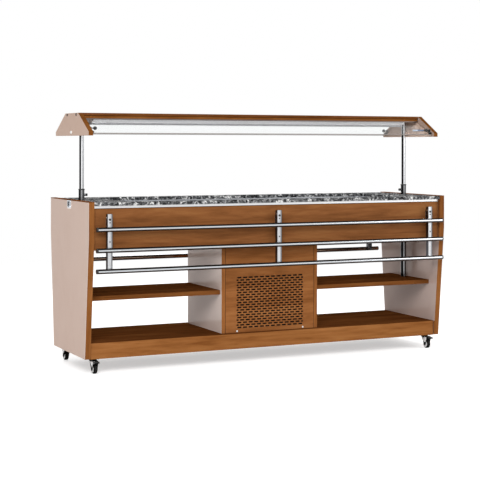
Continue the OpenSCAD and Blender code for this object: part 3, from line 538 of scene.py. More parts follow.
def brushed_metal(name, base, line, smooth=0.2, rough=0.36, along="x", fineness=900.0):
    """Metal with fine lines along one axis."""
    stretch = lines_along(along, fineness)
    material, tree, shader = start_material(name, Metallic=1.0)
    lines = use_group(tree, BRUSHED, {"Place": object_place(tree, stretch), "Base": base, "Line": line,
                                      "Smooth": smooth, "Rough": rough})
    lead_in(tree, lines, shader, strength=0.12, distance=0.05 * MM)
    return material


def object_axis(tree, axis):
    """One of the three object coordinates."""
    coordinates = add(tree, "ShaderNodeTexCoord").outputs["Object"]
    return add(tree, "ShaderNodeSeparateXYZ", None, {"Vector": coordinates}).outputs[axis]


def across_upright(tree, reach, radius):
    """How far a point lies across an upright tube, from -1 to 1, as seen along the camera's yaw and
    turned round on the far half; it places painted reflections.
    """
    x = object_axis(tree, "X")
    middle = maths(tree, "MULTIPLY", maths(tree, "SIGN", x), reach)
    off = maths(tree, "SUBTRACT", x, middle)
    y = object_axis(tree, "Y")
    sideways = maths(tree, "SUBTRACT", maths(tree, "MULTIPLY", off, math.cos(CAMERA_YAW)),
                     maths(tree, "MULTIPLY", y, math.sin(CAMERA_YAW)))
    behind = maths(tree, "ADD", maths(tree, "MULTIPLY", off, math.sin(CAMERA_YAW)),
                   maths(tree, "MULTIPLY", y, math.cos(CAMERA_YAW)))
    half = maths(tree, "MULTIPLY", maths(tree, "SIGN", behind), -1.0)
    return maths(tree, "MULTIPLY", maths(tree, "DIVIDE", sideways, radius), half)


def across_level(tree, lowest, pitch, radius):
    """How far a point lies down from the middle of one of several level tubes, from -1 to 1; it places
    painted reflections.
    """
    raised = maths(tree, "ADD", maths(tree, "SUBTRACT", object_axis(tree, "Z"), lowest), pitch / 2)
    above = maths(tree, "SUBTRACT", maths(tree, "FLOORED_MODULO", raised, pitch), pitch / 2)
    return maths(tree, "DIVIDE", above, -radius)


def painted_reflection_tube(name, across, dark, bright, soft, bright_from, bright_to, along="x"):
    """Tube with painted reflections: dark, bright and soft bands along its sides, and fine polishing
    lines.
    """
    stretch = lines_along(along, 900.0)
    material, tree, shader = start_material(name, Metallic=1.0)
    bands = use_group(tree, REFLECTION_BANDS,
                      {"Across": across(tree), "Dark": dark, "Bright": bright, "Soft": soft,
                       "Bright from": bright_from, "Bright to": bright_to})
    line_strength = 0.12
    worn = blend_colours(tree, line_strength, bands["Colour"], ink(90, 90, 92))
    lines = use_group(tree, BRUSHED, {"Place": object_place(tree, stretch), "Base": bands["Colour"],
                                      "Line": worn, "Smooth": 0.14, "Rough": 0.28})
    lead_in(tree, lines, shader, strength=0.03, distance=0.05 * MM)
    return material


def moulded(name, base, worn, smooth=0.3, rough=0.45, metallic=0.0, gloss=0.5):
    """Moulded plastic, rubber or painted metal with a fine surface and faint wear."""
    material, tree, shader = start_material(name, Metallic=metallic, Specular_IOR_Level=gloss)
    marks = handling_marks(tree, (12, 12, 12), base, worn, amount=0.6, smooth=smooth, rough=rough)
    tree.links.new(marks["Colour"], shader["Base Color"])
    tree.links.new(marks["Roughness"], shader["Roughness"])
    grain = noise(tree, object_place(tree), scale=1400.0, detail=2.0, rough=0.5)
    bump(tree, shader, grain, strength=0.12, distance=0.05 * MM)
    return material


def polished_stone(name):
    """The counter's stone, its gloss fading where it is seen at a low angle."""
    material, tree, shader = start_material(name, Specular_IOR_Level=0.0, Coat_Roughness=0.06)
    turning = add(tree, "ShaderNodeLayerWeight", None, {"Blend": 0.5}).outputs["Facing"]
    gloss = remap(tree, turning, 0.75, 0.93, 0.5, 0.0)
    tree.links.new(gloss, shader["Coat Weight"])
    stone = use_group(tree, STONE, {"Place": object_place(tree), "Black": ink(16, 16, 17),
                                    "Dark": ink(70, 71, 73), "Grey": ink(128, 128, 129),
                                    "White": ink(222, 222, 220)})
    lead_in(tree, stone, shader, strength=0.03, distance=0.05 * MM)
    return material


def clear_glass(name, tint):
    """Thin clear glass that lets the lamps' light through to what is behind it."""
    material, tree, shader = start_material(name, Transmission_Weight=1.0, IOR=1.12)
    marks = handling_marks(tree, (3, 3, 3), tint, ink(248, 250, 250), amount=0.3, smooth=0.0,
                           rough=0.01)
    tree.links.new(marks["Colour"], shader["Base Color"])
    tree.links.new(marks["Roughness"], shader["Roughness"])
    surface = tree.nodes["Principled BSDF"].outputs[0]
    shadow = add(tree, "ShaderNodeLightPath").outputs["Is Shadow Ray"]
    through = add(tree, "ShaderNodeBsdfTransparent", None, {"Color": tint}).outputs[0]
    mixed = add(tree, "ShaderNodeMixShader", None, {0: shadow, 1: surface, 2: through}).outputs[0]
    tree.links.new(mixed, tree.nodes["Material Output"].inputs["Surface"])
    return material


front_timber = timber("fascia timber", ink(102, 62, 32), ink(129, 81, 45), ink(145, 97, 56), sheen=0.03)
low_timber = timber("plinth timber", ink(118, 70, 33), ink(145, 93, 50), ink(161, 108, 62))
# Deck timber: darker than the fronts, partly its own tone and partly painted shade on level tops.
deck_timber_with_shade = timber("deck timber with painted shade", ink(76, 41, 17), ink(98, 56, 26), ink(115, 71, 36), pores=0.5)
shelf_timber = timber("shelf edge timber", ink(90, 51, 22), ink(116, 70, 34), ink(132, 84, 44))
pale_tones = (ink(116, 69, 33), ink(142, 89, 48), ink(160, 106, 61))
panel_timber = timber("grille timber", *pale_tones, sheen=0.03)
box_edge_timber = timber("box edge timber", *pale_tones, along="z")
edge_timber = timber("upright edge timber", ink(106, 61, 29), ink(131, 81, 41), ink(149, 98, 54),
                     along="z")
side_edge_timber = timber("level edge timber", ink(96, 54, 25), ink(120, 72, 36), ink(137, 88, 47),
                          along="y")
roof_timber = timber("canopy board timber", ink(76, 41, 17), ink(106, 61, 29), ink(122, 75, 38))
rail_timber = timber("canopy rail timber", ink(92, 52, 20), ink(121, 73, 32), ink(138, 90, 48))
# Dark timber for joints, and painted shade under the trims.
joint_and_shade_timber = timber("joint and painted shade timber", ink(50, 27, 10), ink(66, 37, 15), ink(78, 46, 20))
laminate = laminate_face("side laminate", ink(205, 180, 166), ink(196, 170, 156), gloss=0.12)
# Painted highlight: pale laminate for a rim of the side panels' outer faces.
laminate_painted_highlight = laminate_face("laminate edge, painted highlight", ink(247, 240, 235), ink(238, 230, 224), gloss=0.12)
gloss_laminate = laminate_face("inner laminate", ink(198, 176, 166), ink(190, 166, 155), gloss=0.3,
                               smooth=0.16, rough=0.24)
canopy_laminate = laminate_face("canopy laminate", ink(198, 170, 153), ink(188, 159, 142), gloss=0.1)
# Painted light: the box walls' laminate is paler than the side laminate.
lit_wall_laminate = laminate_face("box wall laminate, painted light", ink(226, 208, 198), ink(216, 196, 186), gloss=0.3,
                              smooth=0.16, rough=0.24)
# Painted shade: darker laminate for faces inside the canopy.
shaded_laminate = laminate_face("canopy inner laminate, painted shade", ink(176, 152, 138), ink(166, 141, 126),
                                gloss=0.05)
stone = polished_stone("counter stone")


def rail_row():
    """The height of the lowest rail's axis, the pitch of the rails and their radius."""
    low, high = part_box("slide_rails_front")
    radius = (high.y - low.y) / 2
    return low.z + radius, (high.z - low.z - 2 * radius) / 2, radius


def upright(node):
    """The distance of an upright tube's axis from the middle of the object, and its radius."""
    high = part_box(node)[1]
    return high.x - high.y, high.y


# Painted reflections: the rails' bands stand for what they mirror, and their inner side is painted
# brownish as a reflection of timber.
rail_steel_painted_reflections = painted_reflection_tube("rail steel, painted reflections", lambda tree: across_level(tree, *rail_row()),
                           dark=ink(34, 29, 27), bright=ink(214, 218, 222), soft=ink(64, 53, 46),
                           bright_from=-0.3, bright_to=0.28)
rail_inner_painted_reflection = painted_reflection_tube("inner side of the rails, painted timber reflection", lambda tree: across_level(tree, *rail_row()),
                            dark=ink(58, 42, 34), bright=ink(158, 134, 117), soft=ink(66, 46, 36),
                            bright_from=-0.3, bright_to=0.4)
# Painted reflections: dark, bright and grey bands on the posts and guide tubes, placed as the camera
# sees them.
post_steel_painted_reflections = painted_reflection_tube("post steel, painted reflections", lambda tree: across_upright(tree, *upright("posts")),
                           dark=ink(20, 20, 22), bright=ink(240, 241, 243), soft=ink(150, 151, 153),
                           bright_from=-0.08, bright_to=0.46, along="z")
guide_steel_painted_reflections = painted_reflection_tube("guide tube steel, painted reflections",
                            lambda tree: across_upright(tree, *upright("guide_tubes")),
                            dark=ink(14, 14, 15), bright=ink(160, 161, 163), soft=ink(76, 77, 79),
                            bright_from=-0.1, bright_to=0.4, along="z")
arm_steel = brushed_metal("arm steel", ink(232, 233, 235), ink(168, 169, 172), along="z",
                          fineness=500.0)
# Painted shade: darker copies of the arm steel for one strip of each web and for its bends and sides.
arm_painted_shade = brushed_metal("arm steel, painted shade", ink(170, 171, 174), ink(134, 135, 138), along="z",
                          fineness=500.0)
arm_side_painted_shade = brushed_metal("arm side steel, painted shade", ink(98, 98, 101), ink(72, 72, 75), smooth=0.22, rough=0.38,
                         along="z", fineness=500.0)
well_steel = brushed_metal("well steel", ink(200, 202, 206), ink(176, 178, 182), smooth=0.24, rough=0.4)
trim_metal = brushed_metal("edge trim metal", ink(226, 226, 226), ink(210, 210, 212), smooth=0.28,
                           rough=0.42)
bright_steel = moulded("polished steel", ink(214, 216, 220), ink(190, 192, 196), smooth=0.12,
                       rough=0.24, metallic=1.0)
bronze = moulded("channel bronze", ink(104, 90, 82), ink(122, 108, 99), smooth=0.35, rough=0.5,
                 metallic=0.4)
# Black moulding, also used as painted shade inside the cups.
black_plastic_and_shade = moulded("black moulding", ink(24, 24, 25), ink(48, 48, 50), smooth=0.3, rough=0.48)
black_paint = moulded("black painted steel", ink(6, 6, 6), ink(26, 26, 27), smooth=0.32, rough=0.5,
                      gloss=0.12)
# Black for the grille's joint, and painted shade: the slot walls, the box walls' insides and the sheet
# behind the slots.
slot_black = moulded("black for joints and painted shade", ink(12, 12, 12), ink(26, 25, 24), smooth=0.7, rough=0.9)
tyre_rubber = moulded("tyre rubber", ink(8, 8, 8), ink(30, 30, 30), smooth=0.55, rough=0.75, gloss=0.1)
# Painted highlight: a lighter line round the tyres' tread.
tread_painted_highlight = moulded("tyre tread, painted highlight", ink(44, 44, 44), ink(58, 58, 57), smooth=0.55, rough=0.75,
                       gloss=0.1)
hub_plastic = moulded("hub plastic", ink(250, 250, 250), ink(226, 226, 228), smooth=0.35, rough=0.5)
# Painted highlight: bright outer faces of the fork legs.
leg_painted_highlight = moulded("fork leg, painted highlight", ink(246, 246, 247), ink(210, 211, 214))
white_plastic = moulded("white moulding", ink(238, 238, 236), ink(216, 215, 212))
lamp_paint = moulded("lamp housing paint", ink(240, 240, 242), ink(230, 231, 233), smooth=0.4,
                     rough=0.55, gloss=0.1)
# Painted shade: the grey of the frame round the lamp's lower edge.
lamp_edge_shade = moulded("lamp frame, painted shade", ink(132, 133, 135), ink(118, 119, 121), smooth=0.35, rough=0.5)
foam_case = moulded("case sheet", ink(188, 189, 190), ink(168, 168, 169), smooth=0.4, rough=0.55)
machine_metal = moulded("machine casting", ink(34, 35, 38), ink(58, 58, 60), smooth=0.4, rough=0.6,
                        metallic=0.6)
glass = clear_glass("canopy glass", ink(252, 253, 253))
glass_edge = moulded("ground glass edge", ink(138, 129, 124), ink(154, 145, 140))
# Painted reflection: brown side edges of the panes, as if they showed the timber.
pane_side_painted_reflection = moulded("pane side edge, painted timber reflection", ink(112, 78, 52), ink(128, 94, 68))
bar_silver = moulded("bar silver", ink(196, 208, 224), ink(180, 192, 210), metallic=0.5)
# Painted reflection: slate blue on part of the holder bars.
bar_painted_reflection = moulded("bar, painted slate reflection", ink(92, 112, 146), ink(78, 96, 126), metallic=0.3)

# Cabinet boards


def is_level(normal):
    """True for a face that points up or down."""
    return abs(normal.z) > 0.7


def is_at(value, wanted):
    """True for a coordinate within a tenth of a millimetre of a wanted one."""
    return abs(value - wanted) < 0.1 * MM


def finish_side_panels():
    """Laminate faces between timber edges, with a thin timber line along the top, a pale painted
    highlight along the front and back edges of the outer face, and painted shade in timber on the inner
    face beside the fascia and the plinth.
    """
    line = 3.2 * MM
    highlight_rim = 4 * MM
    short_of_ends = 5 * MM
    rim = 2 * MM
    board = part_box("fascias")
    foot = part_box("plinths")
    deck_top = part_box("deck")[1].z
    for node in ("side_panel_left", "side_panel_right"):
        piece = copy_of(node)
        low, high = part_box(node)
        for height in (high.z - line, board[0].z, deck_top):
            cut_across(piece, (0, 0, height), (0, 0, 1))
        for reach in (board[1].y, foot[1].y):
            for side in (-1, 1):
                cut_across(piece, (0, side * reach, 0), (0, 1, 0))
        outer_side = low.x if low.x < 0 else high.x
        piece.data.materials.append(laminate)
        # Painted highlight: a pale rim along the outer face's front and back edges.
        piece.data.materials.append(laminate_painted_highlight)
        pick_faces(piece, lambda place, normal: is_at(place.x, outer_side))
        bpy.ops.mesh.inset(thickness=highlight_rim)
        pick_border(piece, lambda place, normal: is_at(place.x, outer_side)
                    and low.z + short_of_ends < place.z < high.z - short_of_ends)
        piece.active_material_index = 1
        bpy.ops.object.material_slot_assign()
        leave_edit()
        round_edges(piece, 1.2 * MM)
        stands_for(piece, node)
        inner_side = low.x if low.x > 0 else high.x
        paint(piece, gloss_laminate, lambda place, normal: abs(place.x - inner_side) < rim / 2)
        paint(piece, edge_timber, lambda place, normal: abs(normal.y) > PARTLY and not is_level(normal))
        # Painted shade: the inner face's strips in front of the fascia and the plinth take the edge
        # timber.
        paint(piece, edge_timber, lambda place, normal: abs(place.x - inner_side) < rim / 2
              and ((place.z > board[0].z and abs(place.y) > board[1].y)
                   or (place.z < deck_top and abs(place.y) > foot[1].y)))
        paint(piece, side_edge_timber, lambda place, normal: place.z > high.z - line
              or (is_level(normal) and place.z < low.z + rim))


def finish_cups():
    """Steel cups whose upper inside is painted black as painted shade."""
    cups = eased("cups", 0.4 * MM, bright_steel)
    low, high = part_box("cups")
    middle = (low.z + high.z) / 2
    lip = 1.6 * MM
    # Painted shade: black on the upper inside.
    paint(cups, black_plastic_and_shade, lambda place, normal: place.z > middle and abs(place.x) < high.x - lip)


finish_side_panels()
eased("deck", 1.5 * MM, deck_timber_with_shade)
for board in ("shelf_left", "shelf_right"):
    shelf = eased(board, 2 * MM, deck_timber_with_shade)
    paint(shelf, shelf_timber, lambda place, normal: abs(normal.y) > MOSTLY)
# Painted light: the box walls are in the paler laminate.
box_walls = eased("box_walls", 1.2 * MM, lit_wall_laminate)
paint(box_walls, box_edge_timber, lambda place, normal: abs(normal.y) > MOSTLY)
# Painted shade: the box walls' inner faces are black.
paint(box_walls, slot_black, lambda place, normal: normal.x * place.x < 0 and abs(normal.x) > MOSTLY)
finish_cups()

# Fascias, with a dark band of painted shade under the bright trims, and plinths


def jointed_boards(node, width, material, shade_from=math.inf):
    """Timber boards with a dark joint at each end, and a dark band of painted shade above a height."""
    boards = copy_of(node)
    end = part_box(node)[1].x
    joint = 2.4 * MM
    if shade_from < math.inf:
        cut_across(boards, (0, 0, shade_from), (0, 0, 1))
    cut_ends(boards, end - joint)
    ease_and_stand(boards, node, width, material)
    paint(boards, joint_and_shade_timber, lambda place, normal: place.z > shade_from
          or abs(place.x) > end - joint)
    return boards


# Painted shade: a dark band on the fascias just under the bright trims.
trim_shade_band = 3.2 * MM
jointed_boards("fascias", 1.2 * MM, front_timber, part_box("trims")[0].z - trim_shade_band)
plinths = jointed_boards("plinths", 1.5 * MM, low_timber)
# Painted shade: the plinths' tops take the darker timber of the deck.
paint(plinths, deck_timber_with_shade, lambda place, normal: normal.z > PARTLY)

# Slotted panels of the machine box


def slot_shade_sheet(name, node, outwards):
    """A black sheet in a thin frame, close behind a slotted panel, standing for the shade behind the
    slots.
    """
    low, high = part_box(node)
    thick = 4 * MM
    border = 12 * MM
    behind = (low.y if outwards > 0 else high.y) - outwards * thick
    width = high.x - low.x - 2 * border
    height = high.z - low.z - 2 * border
    bpy.ops.mesh.primitive_cube_add(
        size=1, location=((low.x + high.x) / 2, behind, (low.z + high.z) / 2),
        scale=(width, thick, height))
    mat = settle(bpy.context.object, name)
    pick_faces(mat, lambda place, normal: normal.y * outwards > MOSTLY)
    bpy.ops.mesh.inset(thickness=border)
    bpy.ops.mesh.extrude_region_move(TRANSFORM_OT_translate={"value": (0, -outwards * thick / 2, 0)})
    leave_edit()
    round_edges(mat, 0.4 * MM, 1)
    # Painted shade: the sheet is black.
    mat.data.materials.append(slot_black)
    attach(mat, body_of(node))


def finish_grille(node, outwards):
    """A slotted timber panel with a dark joint round it, painted shade in black on its slot walls and
    edges, and a black painted shade sheet behind it.
    """
    panel = eased(node, 0.5 * MM, panel_timber, 1)
    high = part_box(node)[1]
    rim = 0.6 * MM
    # A dark joint round the panel, and painted shade in black on its slot walls and edges.
    paint(panel, slot_black, lambda place, normal: abs(place.x) > high.x - rim
          or place.z > high.z - rim or abs(normal.y) < MOSTLY)
    slot_shade_sheet(node + "_slot_shade_sheet", node, outwards)


finish_grille("box_front", -1)
finish_grille("box_rear", 1)

# Counter, well and trims
eased("counter", 1.5 * MM, stone, 3)
eased("trims", 0.6 * MM, trim_metal)
eased("well_liner", 0.5 * MM, well_steel, 1)
eased("well_case", 2 * MM, foam_case)

# Guides, posts and canopy
# Painted reflections on the guide tubes and the posts.
eased("guide_tubes", 0.6 * MM, guide_steel_painted_reflections)
eased("collars", 0.8 * MM, black_plastic_and_shade)
eased("posts", 0.5 * MM, post_steel_painted_reflections)


def finish_canopy_boards():
    """Laminate end panels with timber edges and painted shade on their inner faces, and a top board
    over its two rails.
    """
    for node in ("canopy_end_left", "canopy_end_right"):
        piece = eased(node, 1.2 * MM, canopy_laminate)
        low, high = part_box(node)
        inner_side = low.x if low.x > 0 else high.x
        paint(piece, rail_timber, lambda place, normal: abs(normal.x) < MOSTLY)
        # Painted shade: the end panel's inner face is darker.
        paint(piece, shaded_laminate, lambda place, normal: abs(place.x - inner_side) < MM)
    seam = 2 * MM
    joint = 4 * MM
    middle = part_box("canopy_top")[0].z
    for node, material in (("canopy_top", roof_timber), ("canopy_rails", rail_timber)):
        board = copy_of(node)
        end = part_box(node)[1].x
        for height in (middle + seam, middle - seam):
            cut_across(board, (0, 0, height), (0, 0, 1))
        cut_ends(board, end - joint)
        ease_and_stand(board, node, 1.2 * MM, material)
        paint(board, joint_and_shade_timber, lambda place, normal: abs(place.z - middle) < seam
              or abs(place.x) > end - joint)


def finish_panes():
    """Clear panes whose cut edges are ground, with a brown painted reflection of timber on their side
    edges.
    """
    ground = 3.5 * MM
    flat = 0.8
    for node in ("glass_front", "glass_rear"):
        low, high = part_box(node)
        side = -1 if low.y < 0 else 1
        slope = math.atan2(high.z - low.z, high.y - low.y)
        uphill = Vector((0, -side * math.cos(slope), math.sin(slope)))
        face_normal = Vector((0, side * math.sin(slope), math.cos(slope)))
        foot = Vector((0, low.y if side < 0 else high.y, low.z)) + uphill * ground
        pane = copy_of(node)
        cut_across(pane, foot, uphill)
        ease_and_stand(pane, node, 0.8 * MM, glass)
        paint(pane, glass_edge, lambda place, normal: abs(normal.dot(face_normal)) < flat
              or (place - foot).dot(uphill) < 0)
        # Painted reflection: the side edges are brown.
        paint(pane, pane_side_painted_reflection, lambda place, normal: abs(normal.x) > MOSTLY)


def lamp_frame():
    """A thin grey frame round the lower edge of the light and its diffuser; its grey is painted shade
    for the dark line there.
    """
    low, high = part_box("light_housing")
    lens_low, lens_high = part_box("light_lens")
    drop = 4 * MM
    rise = 5 * MM
    outside = 3 * MM
    bar = 9 * MM
    bpy.ops.mesh.primitive_cube_add(
        size=1, location=(0, 0, low.z + (rise - drop) / 2),
        scale=(high.x - low.x + outside, lens_high.y - lens_low.y + 2 * bar, drop + rise))
    frame_piece = settle(bpy.context.object, "lamp_frame")
    pick_faces(frame_piece, lambda place, normal: is_level(normal))
    bpy.ops.mesh.inset(thickness=bar)
    bpy.ops.mesh.bridge_edge_loops()
    leave_edit()
    round_edges(frame_piece, 0.5 * MM)
    # Painted shade: the frame is grey.
    frame_piece.data.materials.append(lamp_edge_shade)
    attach(frame_piece, body_of("light_housing"))


finish_canopy_boards()
finish_panes()
lamp_frame()
eased("light_housing", 1 * MM, lamp_paint)
eased("light_lens", 0.5 * MM, white_plastic)
eased("canopy_bolts", 0.4 * MM, black_paint)


def bolt_heads():
    """Round black heads on the bolts near the top of each canopy end."""
    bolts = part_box("canopy_bolts")[1]
    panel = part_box("canopy_end_right")[1]
    half = 76.5 * MM
    drop = 9 * MM
    past_bolts = 2 * MM
    rise = bolts.x - panel.x + past_bolts
    made = []
    for end in (-1, 1):
        for side in (-1, 1):
            place = (end * (panel.x + rise / 2), side * half, panel.z - drop)
            made.append(round_head(place, (0, math.pi / 2, 0), radius=7.5 * MM, rise=rise,
                                   vertices=32, rounding=1.6 * MM))
    heads = join_as("canopy_bolt_heads", made)
    heads.data.materials.append(black_paint)
    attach(heads, body_of("canopy_bolts"))


bolt_heads()
post_caps = eased("post_caps", 2.6 * MM, white_plastic, 4)
inner_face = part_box("canopy_top")[1].x
# Painted shade: the caps' spacers inside the canopy take the darker inner laminate.
paint(post_caps, shaded_laminate, lambda place, normal: abs(place.x) < inner_face + MM)
eased("glass_channels", 0.6 * MM, bronze)
eased("glass_clips", 0.6 * MM, black_plastic_and_shade)


def finish_holder_bars():
    """Holder bars, silver, with a slate painted reflection on one part of their length."""
    bars = copy_of("holder_bars")
    low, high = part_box("holder_bars")
    reflection_share = 0.55
    change = low.y + reflection_share * (high.y - low.y)
    cut_across(bars, (0, change, 0), (0, 1, 0))
    ease_and_stand(bars, "holder_bars", 0.6 * MM, bar_silver)
    # Painted reflection: slate on one part of the length.
    paint(bars, bar_painted_reflection, lambda place, normal: place.y < change)


finish_holder_bars()
for corner in CORNERS:
    eased("glass_knob_" + corner, 0.3 * MM, black_plastic_and_shade)
for side in ("left", "right"):
    eased("post_knob_" + side, 0.4 * MM, black_plastic_and_shade)

# Tray slides


def finish_rails(side):
    """Three steel rails with painted reflections, a brownish one on their inner side, and a black plug
    in each end.
    """
    node = "slide_rails_" + side
    low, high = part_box(node)
    plug_shows = 8 * MM
    plug_face = high.x - plug_shows
    rails = copy_of(node)
    cut_ends(rails, plug_face)
    ease_and_stand(rails, node, 0.8 * MM, rail_steel_painted_reflections)
    outwards = -1 if low.y < 0 else 1
    # Painted reflection: the inner side is brownish.
    paint(rails, rail_inner_painted_reflection, lambda place, normal: normal.y * outwards < -PARTLY)
    paint(rails, black_plastic_and_shade, lambda place, normal: abs(place.x) > plug_face)


def arm_fittings(side):
    """A black button near the top of each arm and two dark pins below it."""
    node = "slide_arms_" + side
    low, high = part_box(node)
    outwards = -1 if low.y < 0 else 1
    web_face = max(abs(low.y), abs(high.y))
    half_arm = 14 * MM
    pivot_z = 813 * MM
    button = {"drop": 8.2 * MM, "width": 12 * MM, "rise": 4 * MM}
    high_pin = {"drop": 24.5 * MM, "width": 7 * MM, "rise": 2 * MM}
    low_pin = {"drop": 123 * MM, "width": 7 * MM, "rise": 2 * MM}
    made = []
    for x in (low.x + half_arm, (low.x + high.x) / 2, high.x - half_arm):
        for fitting in (button, high_pin, low_pin):
            rise = fitting["rise"]
            place = (x, outwards * (web_face + rise / 2), pivot_z - fitting["drop"])
            made.append(round_head(place, (math.pi / 2, 0, 0), radius=fitting["width"] / 2, rise=rise,
                                   vertices=24, rounding=rise * 0.4))
    fittings = join_as("arm_fittings_" + side, made)
    fittings.data.materials.append(black_plastic_and_shade)
    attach(fittings, body_of(node))


def finish_arms(side):
    """Pressed steel arms, bright along the middle of the web, with painted shade on one side strip of
    the web and at its bends and sides.
    """
    node = "slide_arms_" + side
    low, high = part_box(node)
    half_arm = 14 * MM
    outline = 2.6 * MM
    bright_to = 4.5 * MM
    middles = (low.x + half_arm, (low.x + high.x) / 2, high.x - half_arm)
    arms = copy_of(node)
    for x in middles:
        for place in (outline - half_arm, bright_to, half_arm - outline):
            cut_across(arms, (x + place, 0, 0), (1, 0, 0))
    ease_and_stand(arms, node, 0.5 * MM, arm_steel)

    def off_middle(place):
        return min((place.x - x for x in middles), key=abs)

    # Painted shade: one strip of each web, and the bends and sides, are darker.
    paint(arms, arm_painted_shade, lambda place, normal: off_middle(place) > bright_to)
    paint(arms, arm_side_painted_shade, lambda place, normal: abs(normal.x) > PARTLY
          or abs(off_middle(place)) > half_arm - outline)


for side in ("front", "rear"):
    finish_arms(side)
    arm_fittings(side)
    finish_rails(side)
eased("slide_brackets", 0.4 * MM, bright_steel)

# Machine box
eased("condensing_unit", 1 * MM, machine_metal)
eased("power_inlet", 0.4 * MM, black_plastic_and_shade)
eased("panel_screws", 0.8 * MM, white_plastic, 3)

# Casters
eased("caster_plates", 0.5 * MM, black_paint)


def finish_fork(corner, axle):
    """A black fork whose outer leg faces carry a painted highlight inside a black rim."""
    node = "fork_" + corner
    wheel_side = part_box("wheel_" + corner)[1].x - axle.x
    beyond_wheel = 3.7 * MM
    leg_face = wheel_side + beyond_wheel
    close = 0.5 * MM
    rim = 4 * MM
    fork = copy_of(node)
    fork.data.materials.append(black_paint)
    fork.data.materials.append(leg_painted_highlight)
    # Painted highlight: the outer leg faces, inside a black rim.
    pick_faces(fork, lambda place, normal: abs(normal.x) > NEARLY_ALL
               and abs(abs(place.x - axle.x) - leg_face) < close)
    bpy.ops.mesh.inset(thickness=rim)
    fork.active_material_index = 1
    bpy.ops.object.material_slot_assign()
    leave_edit()
    round_edges(fork, 0.5 * MM)
    stands_for(fork, node)


def finish_wheel(corner, axle):
    """A black tyre with a lighter painted highlight round the middle of its tread, on a white hub."""
    node = "wheel_" + corner
    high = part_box(node)[1]
    hub_reach = 15.5 * MM
    tread_line = 1.4 * MM
    tread_depth = 2 * MM
    wheel = copy_of(node)
    cut_ends(wheel, tread_line, axle.x)
    ease_and_stand(wheel, node, 0.5 * MM, tyre_rubber)

    def from_axle(place):
        return math.hypot(place.y - axle.y, place.z - axle.z)

    paint(wheel, hub_plastic, lambda place, normal: from_axle(place) < hub_reach)
    # Painted highlight: a lighter line round the middle of the tread.
    paint(wheel, tread_painted_highlight, lambda place, normal: from_axle(place) > high.z - axle.z - tread_depth
          and abs(place.x - axle.x) < tread_line)


def finish_brake(corner):
    """A brake pedal with a thick ribbed pad on it."""
    node = "brake_" + corner
    eased(node, 0.5 * MM, black_paint)
    low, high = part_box(node)
    outwards = -1 if low.y < 0 else 1
    half_plate = 2 * MM
    pedal_top = (low.z + high.z) / 2 + half_plate
    margin = 1 * MM
    width = high.x - low.x - 2 * margin
    deep = 13 * MM
    strips = 6
    rise = 3.4 * MM
    rib = 1.2 * MM
    outer = low.y if outwards < 0 else high.y
    bpy.ops.mesh.primitive_cube_add(
        size=1, location=((low.x + high.x) / 2, outer - outwards * deep / 2, pedal_top + rise / 2),
        scale=(width, deep, rise))
    pad = settle(bpy.context.object, "brake_pad_" + corner)
    for k in range(1, strips):
        cut_across(pad, (0, outer - outwards * deep * k / strips, 0), (0, 1, 0))
    pick_faces(pad, lambda place, normal: normal.z > NEARLY_ALL
               and math.floor((place.y - outer) * -outwards / (deep / strips)) % 2 == 0)
    bpy.ops.mesh.extrude_region_move(TRANSFORM_OT_translate={"value": (0, 0, rib)})
    leave_edit()
    round_edges(pad, 0.4 * MM)
    pad.data.materials.append(black_plastic_and_shade)
    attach(pad, body_of(node))


for corner in CORNERS:
    low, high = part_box("wheel_" + corner)
    axle = (low + high) / 2
    finish_fork(corner, axle)
    finish_wheel(corner, axle)
    finish_brake(corner)

# Floor, sky and lamps


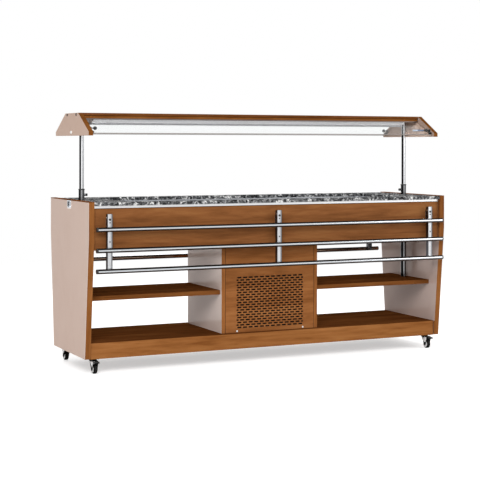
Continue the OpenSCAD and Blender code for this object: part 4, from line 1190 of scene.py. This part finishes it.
def lay_floor():
    """Pale floor that fades into the white background away from the object."""
    bpy.ops.mesh.primitive_circle_add(vertices=96, radius=14, fill_type="NGON", location=(0, 0, 0))
    floor = settle(bpy.context.object, "floor")
    material, tree, shader = start_material("pale floor", Roughness=0.9, Specular_IOR_Level=0.1)
    place = object_place(tree)
    mottle = noise(tree, place, scale=1.5, detail=2.0, rough=0.5)
    paint_tone = blend_colours(tree, remap(tree, mottle, 0.3, 0.7), ink(240, 240, 240),
                               ink(244, 244, 244))
    tree.links.new(paint_tone, shader["Base Color"])
    surface = tree.nodes["Principled BSDF"].outputs[0]
    glow = add(tree, "ShaderNodeEmission", None, {"Color": (1, 1, 1, 1), "Strength": 0.5})
    lifted = add(tree, "ShaderNodeAddShader", None, {0: surface, 1: glow.outputs[0]})
    path = add(tree, "ShaderNodeLightPath")
    seen = add(tree, "ShaderNodeMixShader", None,
               {0: path.outputs["Is Camera Ray"], 1: surface, 2: lifted.outputs[0]})
    away = add(tree, "ShaderNodeVectorMath", {"operation": "LENGTH"}, {0: place}).outputs["Value"]
    clear = add(tree, "ShaderNodeBsdfTransparent").outputs[0]
    faded = add(tree, "ShaderNodeMixShader", None,
                {0: remap(tree, away, 2.0, 6.0), 1: seen.outputs[0], 2: clear})
    tree.links.new(faded.outputs[0], tree.nodes["Material Output"].inputs["Surface"])
    floor.data.materials.append(material)


def light_sky():
    """White to the camera and in reflections, and a softer white for lighting."""
    world = bpy.data.worlds.new("studio")
    bpy.context.scene.world = world
    world.use_nodes = True
    tree = world.node_tree
    ambient = tree.nodes["Background"]
    ambient.inputs["Color"].default_value = (1, 1, 1, 1)
    ambient.inputs["Strength"].default_value = 0.55
    seen = add(tree, "ShaderNodeBackground", None, {"Color": (1, 1, 1, 1), "Strength": 1.0})
    path = add(tree, "ShaderNodeLightPath").outputs
    shown = maths(tree, "MAXIMUM", path["Is Camera Ray"], path["Is Glossy Ray"])
    shown = maths(tree, "MAXIMUM", shown, path["Is Transmission Ray"])
    mixed = add(tree, "ShaderNodeMixShader", None,
                {0: shown, 1: ambient.outputs[0], 2: seen.outputs[0]})
    tree.links.new(mixed.outputs[0], tree.nodes["World Output"].inputs["Surface"])


def hang_lamp(name, place, target, size, watts):
    """A square soft lamp that looks at a target."""
    data = bpy.data.lights.new(name, "AREA")
    data.size = size
    data.energy = watts
    lamp = bpy.data.objects.new(name, data)
    lamp.location = place
    lamp.rotation_euler = (Vector(target) - Vector(place)).to_track_quat("-Z", "Y").to_euler()
    bpy.context.scene.collection.objects.link(lamp)


lay_floor()
light_sky()
MIDDLE = (0, 0, 0.7)
hang_lamp("key lamp", (-3.2, -4.6, 3.4), MIDDLE, size=2.6, watts=210)
hang_lamp("fill lamp", (4.2, -3.6, 2.4), MIDDLE, size=2.6, watts=90)
hang_lamp("back lamp", (1.0, 4.6, 3.2), MIDDLE, size=3.0, watts=120)
